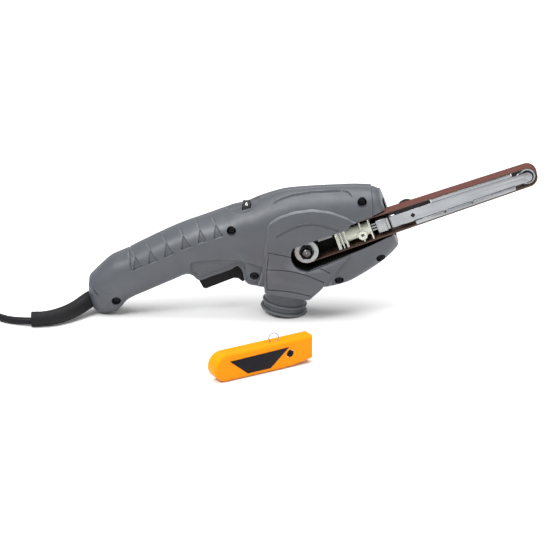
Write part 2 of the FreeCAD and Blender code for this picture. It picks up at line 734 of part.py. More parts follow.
def belt_cover():
    outer = cover_outline(0).extrude(V(0, COVER_DEEP, 0))
    front = [e for e in outer.Edges if all(abs(v.Y) < 0.01 for v in e.Vertexes)]
    outer = outer.makeChamfer(1.6, front)
    hollow = cover_outline(COVER_WALL).extrude(V(0, COVER_DEEP, 0))
    hollow.translate(V(0, COVER_WALL, 0))
    x, z = COVER_SCREW
    return in_cover(outer.cut(hollow).cut(across(x, z, 3.4, -2, COVER_DEEP)))


def cover_screw():
    x, z = COVER_SCREW
    screw = across(x, z, 3.1, 0.6, 3.4).fuse(across(x, z, 1.6, 3, 11))
    return in_cover(screw.cut(box(x - 2.2, x + 2.2, 0, 1.5, z - 0.45, z + 0.45)))


def cover_ring():
    """Spring clip ring held in the top edge."""
    ring = Part.makeTorus(4.2, 0.45, V(60, 6.5, COVER_HIGH + 3.2), V(0.2, 1, 0))
    return in_cover(ring.cut(box(0, 95, 0, 13, 0, COVER_HIGH + 0.02)))


def cover_label():
    return in_cover(plate(LABEL_CORNERS, -0.4, -0.01))


# ---- assembly ---------------------------------------------------------------------------
def make_parts():
    left, right = housing_halves()
    front_bearing = on(MOTOR, bearing(19.0, 24.9, 9.5, 2.51))
    rear_bearing = on(MOTOR, bearing(74, 79, 8.0, 2.51))
    return {
        "housing_left": left, "housing_right": right, "dust_chute": dust_chute(),
        "dust_port": dust_port(), "housing_screws": housing_screws(),
        "cord_sleeve": cord_sleeve(), "cord_clamp": cord_clamp(), "clamp_screws": clamp_screws(),
        "mains_cord": mains_cord(), "cord_coil": cord_coil(), "cord_tie": cord_tie(),
        "plug_body": plug_body(), "plug_pins": plug_pins(),
        "trigger": trigger(), "trigger_pin": trigger_pin(), "trigger_spring": trigger_spring(),
        "switch_body": switch_body(), "speed_dial": speed_dial(), "speed_board": speed_board(),
        "dial_regulator": dial_regulator(),
        "field_core": field_core(), "field_coils": field_coils(), "armature_core": armature_core(),
        "motor_shaft": motor_shaft(), "commutator": commutator(), "fan": fan(),
        "brush_holders": brush_holders(), "carbon_brushes": carbon_brushes(),
        "front_bearing": front_bearing, "rear_bearing": rear_bearing,
        "pinion": pinion(), "drive_gear": drive_gear(), "drive_shaft": drive_shaft(),
        "shaft_bearing": shaft_bearing(), "gearbox_plate": gearbox_plate(),
        "drive_pulley": drive_pulley(), "pulley_washer": pulley_washer(), "pulley_nut": pulley_nut(),
        "pulley_screw": pulley_screw(), "sanding_belt": sanding_belt(), "belt_guard": belt_guard(),
        "tension_carrier": tension_carrier(), "tension_spring": tension_spring(),
        "spring_post": spring_post(), "guide_rods": guide_rods(), "arm_block": arm_block(),
        "belt_arm": belt_arm(), "upper_platen": upper_platen(), "lower_platen": lower_platen(),
        "nose_roller": nose_roller(), "nose_axle": nose_axle(), "guide_plate": guide_plate(),
        "tracking_knob": tracking_knob(), "tracking_bracket": tracking_bracket(),
        "belt_cover": belt_cover(), "cover_screw": cover_screw(), "cover_ring": cover_ring(),
        "cover_label": cover_label(),
    }


CORD_NODES = ("mains_cord", "cord_coil", "cord_tie", "plug_body", "plug_pins")
PARTS = make_parts()

tool_box = FreeCAD.BoundBox()
for name, shape in PARTS.items():
    if name not in CORD_NODES:
        tool_box.add(shape.optimalBoundingBox(False))
SHIFT = V(-(tool_box.XMin + tool_box.XMax) / 2, -(tool_box.YMin + tool_box.YMax) / 2, 0)

os.makedirs("parts", exist_ok=True)
for name, shape in PARTS.items():
    shape.translate(SHIFT)
    shape.exportStep("parts/" + name + ".step")
print("nodes", len(PARTS), "shift", SHIFT, "box", tool_box)
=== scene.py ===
"""Looks of the hand-held belt sander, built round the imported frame.

Shapes are drawn in millimetres in the tool's drawing frame (+X to the nose, -Y the belt side, Z = 0 the
floor) or in the arm's frame (s along the arm, h square to it), and then moved into the frame's metres.
"""
import json
import math

import bmesh
import bpy
import numpy as np
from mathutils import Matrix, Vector
from mathutils.bvhtree import BVHTree

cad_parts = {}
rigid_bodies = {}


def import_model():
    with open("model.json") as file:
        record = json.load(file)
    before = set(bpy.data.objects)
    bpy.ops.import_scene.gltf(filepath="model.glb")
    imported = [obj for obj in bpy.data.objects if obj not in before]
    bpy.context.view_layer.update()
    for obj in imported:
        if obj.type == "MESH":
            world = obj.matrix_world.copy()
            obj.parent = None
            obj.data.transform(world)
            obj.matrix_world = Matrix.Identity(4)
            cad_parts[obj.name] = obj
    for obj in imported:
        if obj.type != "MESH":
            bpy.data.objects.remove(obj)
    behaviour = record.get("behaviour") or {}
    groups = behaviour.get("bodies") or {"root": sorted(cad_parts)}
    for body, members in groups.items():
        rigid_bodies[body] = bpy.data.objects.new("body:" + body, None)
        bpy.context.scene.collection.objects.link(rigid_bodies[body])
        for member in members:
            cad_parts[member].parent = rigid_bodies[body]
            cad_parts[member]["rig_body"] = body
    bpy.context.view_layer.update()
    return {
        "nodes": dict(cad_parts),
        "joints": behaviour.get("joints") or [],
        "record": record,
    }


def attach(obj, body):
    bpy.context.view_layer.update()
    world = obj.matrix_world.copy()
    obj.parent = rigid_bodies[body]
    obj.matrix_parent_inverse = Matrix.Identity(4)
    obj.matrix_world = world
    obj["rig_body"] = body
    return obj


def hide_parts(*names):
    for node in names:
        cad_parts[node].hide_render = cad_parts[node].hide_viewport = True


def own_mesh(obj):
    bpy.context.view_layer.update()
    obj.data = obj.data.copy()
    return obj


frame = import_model()

# ---- frames and sizes -------------------------------------------------------------------
MM = 0.001
JOINTS = {joint["name"]: joint for joint in frame["joints"]}
PULLEY = Vector((-3.2, -15.0, 63.7))           # drive pulley centre in the drawing frame
SHIFT = Vector(JOINTS["drive_spin"]["pos_m"]) - PULLEY * MM
ARM_AXIS = Vector(JOINTS["arm_retract"]["axis"])
COS_ARM, SIN_ARM = ARM_AXIS.x, ARM_AXIS.z
REACH = 199.4                                  # drive pulley axis to nose roller axis
PULLEY_R, NOSE_R = 10.0, 7.5
BELT_GAP, BELT_THICK = 0.3, 0.9
BELT_NEAR, BELT_FAR = -21.5, -8.5
FRONT = 75.0                                   # housing front face along the arm
SLOT_UP, SLOT_DOWN, SLOT_R = 8.8, 14.6, 14.6
SLOT_MOUTH_UP, SLOT_MOUTH_DOWN = 11.7, -10.5   # edges of the slot where it runs out past the front
PORT_X, PORT_TILT, PORT_RIM_R, PORT_BORE_R = -22.8, math.radians(8.4), 20.4, 15.75
PORT_AXIS = (math.sin(PORT_TILT), 0, math.cos(PORT_TILT))
PORT_FLAT = 1.0                                # ground off the rim's low edge, so that the tool stands
WALL = 2.6                                     # thickness of the housing's wall
SCREWS = [(-167.5, 15.5), (-67.6, 82.4), (-48.0, 40.5), (25.0, 36.4), (60.8, 56.4), (44.2, 107.0)]
SCREW_DEPTH = 3.4                              # screw heads below the face round them

# Housing stations: top point x z, bottom point x z, half width, squareness of the top and of the bottom
STATIONS = np.array([
    (-192.0, 27, -191.3, 11.5, 7, 2.0, 2.0), (-191.6, 30.5, -189.0, 5.5, 11, 2.1, 2.1),
    (-190.2, 34, -184.5, 1.6, 14, 2.2, 2.3), (-182, 42.4, -178.0, 0.0, 16.6, 2.3, 2.5),
    (-173.5, 50.2, -169.0, 1.6, 18, 2.3, 2.5), (-168, 53.4, -163.5, 6.2, 18.6, 2.3, 2.5),
    (-158, 57.6, -156.5, 13.8, 19.3, 2.3, 2.5), (-144, 64.8, -139, 22.2, 20.3, 2.3, 2.5),
    (-130, 71.8, -120, 31.0, 21, 2.3, 2.6), (-115, 78.8, -107.5, 36.6, 21.8, 2.3, 2.6),
    (-103, 83.6, -101.5, 36.0, 22.8, 2.3, 2.7), (-96, 86.2, -95.5, 31.6, 23.4, 2.3, 2.8),
    (-88, 89.0, -84, 36.0, 24.2, 2.3, 2.9), (-74, 94.2, -69, 42.0, 25.2, 2.3, 3.0),
    (-66, 97.0, -62.5, 45.6, 25.8, 2.35, 3.0), (-60, 99.0, -58.6, 41.0, 26.2, 2.4, 3.0),
    (-50, 102.0, -56.2, 31.4, 26.6, 2.5, 3.1), (-38, 106.6, -48, 27.4, 26.8, 2.6, 3.2),
    (-22, 111.4, -22, 25.6, 27, 2.6, 3.2), (-3, 113.6, 2, 26.0, 27, 2.6, 3.2),
    (15, 114.8, 17, 26.8, 27, 2.6, 3.2), (31, 115.3, 33, 31.4, 27, 2.6, 3.2),
    (43, 115.2, 48, 40.0, 26.6, 2.6, 3.1), (53, 114.6, 61, 48.9, 25, 2.6, 3.0),
    (58.5, 112.6, 70, 56.4, 22.5, 2.6, 2.8), (62.2, 109.8, 75.0, 61.6, 19.5, 2.6, 2.6),
    (63.8, 105.8, 77.0, 65.4, 16, 2.5, 2.5), (63.8, 101.0, 77.2, 68.8, 11, 2.4, 2.4),
])

scene = bpy.context.scene


# ---- mesh helpers -----------------------------------------------------------------------
def to_row(points):
    """Drawing frame millimetres to row frame metres."""
    return np.asarray(points, float) * MM + np.array(SHIFT)


def from_arm(s, y, h):
    """Arm frame to drawing frame."""
    return (PULLEY.x + s * COS_ARM - h * SIN_ARM, y, PULLEY.z + s * SIN_ARM + h * COS_ARM)


def new_object(name, points, faces):
    """A mesh object from drawing frame points."""
    mesh = bpy.data.meshes.new(name)
    mesh.from_pydata(to_row(points).tolist(), [], faces)
    mesh.validate()
    obj = bpy.data.objects.new(name, mesh)
    scene.collection.objects.link(obj)
    return obj


def tidy_normals(obj):
    work = bmesh.new()
    work.from_mesh(obj.data)
    bmesh.ops.recalc_face_normals(work, faces=work.faces)
    work.to_mesh(obj.data)
    work.free()


def apply_modifiers(obj):
    depsgraph = bpy.context.evaluated_depsgraph_get()
    mesh = bpy.data.meshes.new_from_object(obj.evaluated_get(depsgraph))
    obj.modifiers.clear()
    obj.data = mesh


def cut(obj, cutters, operation="DIFFERENCE"):
    """Boolean of one object with several others, which are then removed."""
    for cutter in cutters:
        modifier = obj.modifiers.new("cut", "BOOLEAN")
        modifier.operation = operation
        modifier.solver = "EXACT"
        modifier.object = cutter
        apply_modifiers(obj)
    for cutter in cutters:
        bpy.data.objects.remove(cutter)
    return obj


def join(name, objects):
    """One object from several."""
    work = bmesh.new()
    for obj in objects:
        work.from_mesh(obj.data)
    mesh = bpy.data.meshes.new(name)
    work.to_mesh(mesh)
    work.free()
    for obj in objects:
        bpy.data.objects.remove(obj)
    joined = bpy.data.objects.new(name, mesh)
    scene.collection.objects.link(joined)
    return joined


def loft(name, rings):
    """Skin of quads through rings of equal length, closed by a face at each end."""
    count = len(rings[0])
    points = [point for ring in rings for point in ring]
    faces = []
    for i in range(len(rings) - 1):
        for j in range(count):
            k = (j + 1) % count
            faces.append((i * count + j, i * count + k, (i + 1) * count + k, (i + 1) * count + j))
    faces.append(tuple(reversed(range(count))))
    faces.append(tuple(range((len(rings) - 1) * count, len(rings) * count)))
    obj = new_object(name, points, faces)
    tidy_normals(obj)
    return obj


def prism(name, outline, y0, y1, grow=0.0):
    """Outline in X and Z, extruded along Y; it grows by that much from y0 to y1."""
    wide = offset_outline(outline, grow) if grow else outline
    return loft(name, [[(x, y0, z) for x, z in outline], [(x, y1, z) for x, z in wide]])


def arm_prism(name, outline, y0, y1):
    """Outline in the arm's s and h, extruded along Y."""
    return loft(name, [[from_arm(s, y, h) for s, h in outline] for y in (y0, y1)])


def offset_outline(outline, distance):
    """Moves each side of a closed outline outwards."""
    area = sum(a[0] * b[1] - b[0] * a[1] for a, b in zip(outline, outline[1:] + outline[:1]))
    sign = 1.0 if area > 0 else -1.0
    moved = []
    count = len(outline)
    for i, here in enumerate(outline):
        before, after = outline[i - 1], outline[(i + 1) % count]
        n1 = Vector((here[1] - before[1], before[0] - here[0])).normalized() * sign
        n2 = Vector((after[1] - here[1], here[0] - after[0])).normalized() * sign
        bisector = (n1 + n2).normalized()
        reach = distance / max(bisector.dot(n1), 0.4)
        moved.append((here[0] + bisector.x * reach, here[1] + bisector.y * reach))
    return moved


def arc(cx, cz, radius, start, end, count):
    """Points on a round stretch, angles in degrees."""
    angles = [math.radians(start + (end - start) * i / (count - 1)) for i in range(count)]
    return [(cx + radius * math.cos(a), cz + radius * math.sin(a)) for a in angles]


def rounded(outline, radius, count=5):
    """The outline with each corner rounded."""
    result = []
    total = len(outline)
    for i, here in enumerate(outline):
        p = Vector(here)
        a = (Vector(outline[i - 1]) - p)
        b = (Vector(outline[(i + 1) % total]) - p)
        reach = min(radius, a.length * 0.45, b.length * 0.45)
        start, end = p + a.normalized() * reach, p + b.normalized() * reach
        for j in range(count):
            f = j / (count - 1)
            q = start * (1 - f) ** 2 + p * 2 * f * (1 - f) + end * f * f
            result.append((q.x, q.y))
    return result


def lathe(name, profile, start, axis, segments=96):
    """Closed profile of (distance along the axis, radius), turned about the axis."""
    axis = Vector(axis).normalized()
    side = axis.orthogonal().normalized()
    other = axis.cross(side)
    rings = []
    for i in range(segments):
        a = 2 * math.pi * (i + 0.37) / segments
        out = side * math.cos(a) + other * math.sin(a)
        rings.append([tuple(Vector(start) + axis * d + out * r) for d, r in profile])
    count = len(profile)
    faces = []
    for i in range(segments):
        k = (i + 1) % segments
        for j in range(count):
            m = (j + 1) % count
            faces.append((i * count + j, i * count + m, k * count + m, k * count + j))
    obj = new_object(name, [p for ring in rings for p in ring], faces)
    tidy_normals(obj)
    return obj


def turned(name, profile, start, axis, segments=48):
    """Solid of rings of (distance along the axis, radius), flat at both ends."""
    axis = Vector(axis).normalized()
    side = axis.orthogonal().normalized()
    other = axis.cross(side)
    turns = [2 * math.pi * (i + 0.37) / segments for i in range(segments)]
    return loft(name, [[tuple(Vector(start) + axis * d + (side * math.cos(a) + other * math.sin(a)) * r)
                        for a in turns] for d, r in profile])


def smooth(obj, angle=35):
    obj.data.shade_smooth()
    obj.data.set_sharp_from_angle(angle=math.radians(angle))


def present(obj, body, slot, material, *nodes, angle=35):
    """Gives a finished piece its material and body, and hides the nodes that it stands for; the slot argument
    is not used.
    """
    smooth(obj, angle)
    obj.data.materials.clear()
    obj.data.materials.append(material)
    if nodes:
        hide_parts(*nodes)
    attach(obj, body)
    return obj


def node_copy(node):
    """A copy of a CAD node, the node's body and its material slot."""
    source = frame["nodes"][node]
    obj = bpy.data.objects.new(node + "_piece", source.data.copy())
    scene.collection.objects.link(obj)
    slot = next(s["material_slot"] for s in frame["record"]["subparts"] if s["node"] == node)
    return obj, source["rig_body"], slot


def bevelled(obj, width, segments=3):
    """Rounds the edges that are sharper than 30 degrees."""
    bevel = obj.modifiers.new("bevel", "BEVEL")
    bevel.width = width * MM
    bevel.segments = segments
    bevel.limit_method = "ANGLE"
    bevel.angle_limit = math.radians(30)
    apply_modifiers(obj)
    return obj


def refined(node, width, material, segments=2, angle=30):
    """A copy of a CAD node with its edges rounded, which stands for the node."""
    obj, body, slot = node_copy(node)
    work = bmesh.new()
    work.from_mesh(obj.data)
    bmesh.ops.remove_doubles(work, verts=work.verts, dist=1e-6)
    bmesh.ops.dissolve_limit(work, angle_limit=math.radians(2.0), verts=work.verts, edges=work.edges)
    work.to_mesh(obj.data)
    work.free()
    bevelled(obj, width, segments)
    return present(obj, body, slot, material, node, angle=angle)


# ---- materials --------------------------------------------------------------------------
class Look:
    """A small builder for one procedural material."""

    def __init__(self, name, roughness=0.5, metallic=0.0):
        self.material = bpy.data.materials.new(name)
        self.material.use_nodes = True
        self.tree = self.material.node_tree
        self.shader = self.tree.nodes["Principled BSDF"]
        self.shader.inputs["Roughness"].default_value = roughness
        self.shader.inputs["Metallic"].default_value = metallic
        self.place = self.tree.nodes.new("ShaderNodeTexCoord").outputs["Object"]
        self.bump_normal = None

    def link(self, out, into):
        self.tree.links.new(out, into)

    def noise(self, scale, detail=3.0, stretch=None, rotate=None):
        node = self.tree.nodes.new("ShaderNodeTexNoise")
        node.inputs["Scale"].default_value = scale
        node.inputs["Detail"].default_value = detail
        self.link(self.mapped(stretch, rotate), node.inputs["Vector"])
        return node.outputs["Fac"]

    def mapped(self, stretch, rotate=None):
        if stretch is None and rotate is None:
            return self.place
        turn = self.tree.nodes.new("ShaderNodeMapping")
        turn.vector_type = "POINT"
        if rotate:
            turn.inputs["Rotation"].default_value = rotate
        self.link(self.place, turn.inputs["Vector"])
        node = self.tree.nodes.new("ShaderNodeMapping")
        node.inputs["Scale"].default_value = stretch or (1, 1, 1)
        self.link(turn.outputs["Vector"], node.inputs["Vector"])
        return node.outputs["Vector"]

    def cells(self, scale, feature="F1"):
        node = self.tree.nodes.new("ShaderNodeTexVoronoi")
        node.feature = feature
        node.inputs["Scale"].default_value = scale
        self.link(self.place, node.inputs["Vector"])
        return node.outputs["Distance"]

    def ramp(self, value, stops):
        node = self.tree.nodes.new("ShaderNodeValToRGB")
        elements = node.color_ramp.elements
        while len(elements) < len(stops):
            elements.new(0.5)
        for element, (at, colour) in zip(elements, stops):
            element.position = at
            element.color = (*colour, 1)
        self.link(value, node.inputs["Fac"])
        return node.outputs["Color"]

    def colour(self, value, stops):
        self.link(self.ramp(value, stops), self.shader.inputs["Base Color"])

    def rough(self, value, low, high):
        node = self.tree.nodes.new("ShaderNodeMapRange")
        node.inputs["From Min"].default_value = 0.3
        node.inputs["From Max"].default_value = 0.7
        node.inputs["To Min"].default_value = low
        node.inputs["To Max"].default_value = high
        self.link(value, node.inputs["Value"])
        self.link(node.outputs["Result"], self.shader.inputs["Roughness"])

    def bump(self, value, height, strength=1.0):
        """Height in millimetres."""
        node = self.tree.nodes.new("ShaderNodeBump")
        node.inputs["Distance"].default_value = height * MM
        node.inputs["Strength"].default_value = strength
        self.link(value, node.inputs["Height"])
        if self.bump_normal:
            self.link(self.bump_normal, node.inputs["Normal"])
        self.bump_normal = node.outputs["Normal"]
        self.link(self.bump_normal, self.shader.inputs["Normal"])

    def edges(self, start, amount, colour):
        """Lighter colour where the surface is sharply convex: a painted highlight along the edges, with some
        rubbed wear.
        """
        geometry = self.tree.nodes.new("ShaderNodeNewGeometry")
        mask = self.tree.nodes.new("ShaderNodeMapRange")
        mask.inputs["From Min"].default_value = start
        mask.inputs["From Max"].default_value = start + 0.06
        mask.inputs["To Max"].default_value = amount
        self.link(geometry.outputs["Pointiness"], mask.inputs["Value"])
        mix = self.tree.nodes.new("ShaderNodeMix")
        mix.data_type = "RGBA"
        base = self.shader.inputs["Base Color"].links[0].from_socket
        self.link(mask.outputs["Result"], mix.inputs["Factor"])
        self.link(base, mix.inputs["A"])
        mix.inputs["B"].default_value = (*colour, 1)
        self.link(mix.outputs["Result"], self.shader.inputs["Base Color"])


def shades(colour, low, high):
    """Darker and lighter version of a colour."""
    return tuple(c * low for c in colour), tuple(min(c * high, 1.0) for c in colour)


def plastic(name, colour, roughness, grain=0.35, grain_height=0.02, spread=0.1):
    """Moulded plastic: fine spark texture, faint clouding and uneven gloss."""
    look = Look(name, roughness)
    dark, light = shades(colour, 1 - spread, 1 + spread)
    look.colour(look.noise(35, 4), [(0.3, dark), (0.7, light)])
    look.rough(look.noise(90, 3), roughness - 0.06, roughness + 0.08)
    look.bump(look.noise(1000 / grain, 2), grain_height, 0.6)
    look.bump(look.noise(60, 2), 0.05, 0.3)
    return look


def steel(name, colour, roughness, brushed=True, scratch=0.004):
    """Rolled or turned steel with fine lines along the arm and cloudy reflections."""
    look = Look(name, roughness, 1.0)
    turn = (0.0, math.atan2(SIN_ARM, COS_ARM), 0.0)
    dark, light = shades(colour, 0.9, 1.06)
    lines = look.noise(900, 3, (0.04, 1, 1), turn) if brushed else look.noise(400, 3)
    look.colour(look.noise(45, 3), [(0.3, dark), (0.7, light)])
    look.rough(lines, roughness - 0.08, roughness + 0.14)
    look.bump(lines, scratch, 0.7)
    return look


def make_materials():
    made = {}
    grey = (0.064, 0.0695, 0.080)
    housing = plastic("grey_housing_plastic", grey, 0.43, 0.4, 0.012, 0.07)
    housing.shader.inputs["Specular IOR Level"].default_value = 0.5
    # lighter colour on the sharp edges: painted edge highlight, with some wear
    housing.edges(0.52, 0.5, (0.20, 0.21, 0.235))
    made["housing"] = housing
    made["black"] = plastic("black_plastic", (0.0075, 0.0075, 0.0085), 0.42, 0.4, 0.012, 0.2)
    made["black_soft"] = plastic("black_rubber", (0.012, 0.012, 0.013), 0.55, 0.3, 0.02, 0.2)
    made["cavity"] = plastic("dark_cavity_plastic", (0.006, 0.0055, 0.005), 0.6, 0.5, 0.02, 0.3)
    made["dial"] = plastic("dial_plastic", (0.03, 0.03, 0.032), 0.35, 0.4, 0.01, 0.2)
    made["dial_mark"] = plastic("dial_print", (0.75, 0.76, 0.78), 0.45, 0.3, 0.008, 0.05)
    made["cord"] = plastic("cord_sheath", (0.010, 0.010, 0.012), 0.45, 0.5, 0.015, 0.2)
    made["cover"] = plastic("orange_cover_plastic", (0.82, 0.262, 0.0008), 0.40, 0.4, 0.008, 0.06)
    made["label"] = plastic("black_panel_plastic", (0.007, 0.006, 0.010), 0.35, 0.4, 0.006, 0.2)
    made["steel"] = steel("sheet_steel", (0.315, 0.325, 0.34), 0.30)
    made["dull"] = steel("dull_steel", (0.36, 0.37, 0.375), 0.45)
    made["zinc"] = steel("zinc_steel", (0.215, 0.222, 0.23), 0.55, False)
    made["bright"] = steel("turned_steel", (0.36, 0.368, 0.38), 0.46, False)
    made["dark_steel"] = steel("blackened_steel", (0.020, 0.020, 0.022), 0.36, False)
    made["screw"] = steel("oiled_screw", (0.11, 0.11, 0.115), 0.25, False)
    made["cast"] = steel("cast_aluminium", (0.56, 0.57, 0.58), 0.5, False, 0.03)
    made["core"] = steel("core_laminations", (0.22, 0.22, 0.23), 0.5, False, 0.02)
    made["copper"] = steel("copper_wire", (0.62, 0.25, 0.11), 0.34, False)
    made["brass"] = steel("brass_strip", (0.72, 0.52, 0.2), 0.34, False)
    made["carbon"] = plastic("carbon_block", (0.03, 0.03, 0.03), 0.6, 0.4, 0.02, 0.2)
    made["board"] = plastic("circuit_board", (0.02, 0.13, 0.06), 0.4, 0.5, 0.01, 0.2)

    nylon = plastic("natural_nylon", (0.56, 0.58, 0.50), 0.38, 0.5, 0.01, 0.05)
    nylon.shader.inputs["Subsurface Weight"].default_value = 0.35
    nylon.shader.inputs["Subsurface Radius"].default_value = (1.0, 0.9, 0.6)
    nylon.shader.inputs["Subsurface Scale"].default_value = 0.002
    made["nylon"] = nylon

    grit = Look("abrasive_grit", 0.85)
    specks = grit.cells(2600)
    grit.colour(specks, [(0.05, (0.21, 0.090, 0.074)), (0.5, (0.105, 0.040, 0.033)),
                         (0.95, (0.045, 0.017, 0.014))])
    grit.bump(specks, 0.12, 0.9)
    grit.bump(grit.noise(500, 3), 0.05, 0.5)
    made["grit"] = grit

    backing = Look("belt_backing", 0.75)
    weave = backing.noise(1500, 2, (1, 0.25, 1))
    backing.colour(weave, [(0.3, (0.055, 0.028, 0.018)), (0.7, (0.095, 0.052, 0.034))])
    backing.bump(weave, 0.04, 0.6)
    made["backing"] = backing
    for key in ("black", "black_soft", "cavity", "dial", "cord", "label", "grit"):
        made[key].shader.inputs["Specular IOR Level"].default_value = 0.12
    made["cover"].shader.inputs["Specular IOR Level"].default_value = 0.1
    return {key: look.material for key, look in made.items()}


MAT = make_materials()


# ---- housing ----------------------------------------------------------------------------
def spline(table, t):
    """Catmull-Rom values of every column at the parameters t."""
    last = len(table) - 1
    i = np.clip(np.floor(t).astype(int), 0, last - 1)
    f = (t - i)[:, None]
    p0 = table[np.clip(i - 1, 0, last)]
    p1, p2 = table[i], table[i + 1]
    p3 = table[np.clip(i + 2, 0, last)]
    return 0.5 * (2 * p1 + (p2 - p0) * f + (2 * p0 - 5 * p1 + 4 * p2 - p3) * f ** 2
                  + (3 * p1 - p0 - 3 * p2 + p3) * f ** 3)


def station_parameters(fine, coarse, fine_from=-163.0, fine_to=-36.0):
    """Parameters spaced by a finer step along the grip than elsewhere."""
    t = np.linspace(0, len(STATIONS) - 1, 4000)
    rows = spline(STATIONS, t)
    middle = (rows[:, 0] + rows[:, 2]) / 2
    steps = np.maximum(np.hypot(np.diff(rows[:, 0]), np.diff(rows[:, 1])),
                       np.hypot(np.diff(rows[:, 2]), np.diff(rows[:, 3])))
    size = np.where((middle[1:] > fine_from) & (middle[1:] < fine_to), fine, coarse)
    along = np.concatenate([[0], np.cumsum(steps / size)])
    return np.interp(np.linspace(0, along[-1], int(along[-1]) + 1), along, t)


def section_curve(top_power, low_power, half, high, count):
    """Half section from top to bottom: outward and upward parts in -1..1, evenly spaced."""
    a = np.linspace(0, math.pi, 500)
    u, v = np.sin(a), np.cos(a)
    power = low_power + (top_power - low_power) * ramp(v + 0.35, 0.7)
    r = (np.abs(u) ** power + np.abs(v) ** power) ** (-1 / power)
    u, v = u * r, v * r
    length = np.concatenate([[0], np.cumsum(np.hypot(np.diff(u) * half, np.diff(v) * high))])
    at = np.linspace(0, length[-1], count)
    return np.interp(at, length, u), np.interp(at, length, v)


def ramp(value, width):
    """0 below zero, 1 above the width, smooth between."""
    f = np.clip(value / width, 0, 1)
    return f * f * (3 - 2 * f)


def band(value, width):
    """1 at zero, fading to 0 at the width to either side."""
    return 1 - ramp(np.abs(value), width)


TEETH_X = [-152.5, -139.6, -125.6, -111.0, -96.6, -83.0]
TEETH_LOW = 15.6                               # lower side of the teeth, below the top of the grip


def grip_relief(x, depth):
    """Row of sunk triangles on each flank of the grip, with fine lines over its top."""
    height = np.zeros_like(x)
    for left in TEETH_X:
        # sunk triangle: upright rear side, sloping front side, level lower side
        front = (left + 9.0 - x) - (TEETH_LOW - depth) * 0.68
        rear = x - left - (TEETH_LOW - depth) * 0.12
        inside = np.minimum(np.minimum(front * 0.83, rear), TEETH_LOW - depth)
        height -= ramp(inside, 0.6) * (0.35 + 1.35 * np.clip((depth - 3.0) / (TEETH_LOW - 3.0), 0, 1))
        ledge = band(depth - TEETH_LOW - 0.35, 0.7) * ramp(x - left + 0.5, 0.8) * ramp(left + 9.5 - x, 0.8)
        height += 0.32 * ledge
        line = x - (left - 1.6 + depth * 0.68)
        height -= 0.4 * band(line, 0.75) * ramp(5.0 - depth, 1.5)
    rear_line = x - (TEETH_X[0] - 4.0 + 0.16 * depth)
    height -= 0.75 * band(rear_line, 1.0) * ramp(15.5 - depth, 1.0) * ramp(depth + 1, 1)
    band_edge = ramp(rear_line, 1.2) * ramp(-74.0 - x, 3.0) * ramp(TEETH_LOW - depth, 1.2)
    return height + 0.12 * band_edge


def lip_relief(x, z, low_gap):
    """Hollow above the trigger and behind the dust port, leaving a lip at the lower edge."""
    upper = np.interp(x, [-106, -102, -96, -84, -72, -60, -50, -42, -38],
                      [50, 53.8, 55.6, 57.2, 57.4, 56.4, 54.2, 51.4, 49.5])
    inside = ramp(upper - z, 1.5) * ramp(x + 104.0, 3.0) * ramp(-40.0 - x, 1.6)
    lip = ramp(low_gap - 2.2, 1.3)
    return -2.6 * inside * lip


def dish_relief(x, y, z):
    """Scoop in the top round the speed dial."""
    along = (x + 56.7) / 14.8
    inside = 1 - along ** 2 - (y / 15.5) ** 2
    return -2.6 * np.clip(inside * 2.2, 0, 1) ** 0.55 * (z > 60)


def scallop_relief(x, y, z):
    """Long hollow on each side of the top ridge: crisp at the ridge and soft below."""
    ridge = np.interp(x, [-38, -30, -16, 0, 26, 32, 38], [20, 13.5, 9.5, 7.5, 7.0, 9.0, 19])
    away = np.abs(y)
    inside = ramp(away - ridge, 1.0) * ramp(20.5 - away, 10.0) * ramp(x + 36, 5) * ramp(38.5 - x, 3.0)
    return -1.7 * inside * (z > 90)


def front_relief(x, z):
    """Step of the front part that closes the gear case."""
    return -1.2 * ramp(x - 53.0 + np.abs(z - 104) * 0.10, 0.9) * ramp(z - 88.0, 5.0)


def tail_relief(x, z):
    """Notch and crease where the cord sleeve enters."""
    notch = band(z - 27.5 + (x + 190.8) * 0.96, 1.7) * ramp(-182.5 - x, 2.0)
    crease = band(z - 24.5 - (x + 180) * -0.35, 0.9) * ramp(-168.0 - x, 6.0) * ramp(x + 185.0, 2.0)
    return -1.5 * notch - 0.5 * crease


def wall_rows(rows, inset):
    """Rows of the cavity: inside the wall, also where the outline is steep."""
    inner = rows.copy()
    for i, row in enumerate(rows):
        inner[i, 1] = rows[np.abs(rows[:, 0] - row[0]) < inset, 1].min() - inset
        inner[i, 3] = rows[np.abs(rows[:, 2] - row[2]) < inset, 3].max() + inset
    inner[:, 4] -= inset
    return inner[inner[:, 1] - inner[:, 3] > 14]


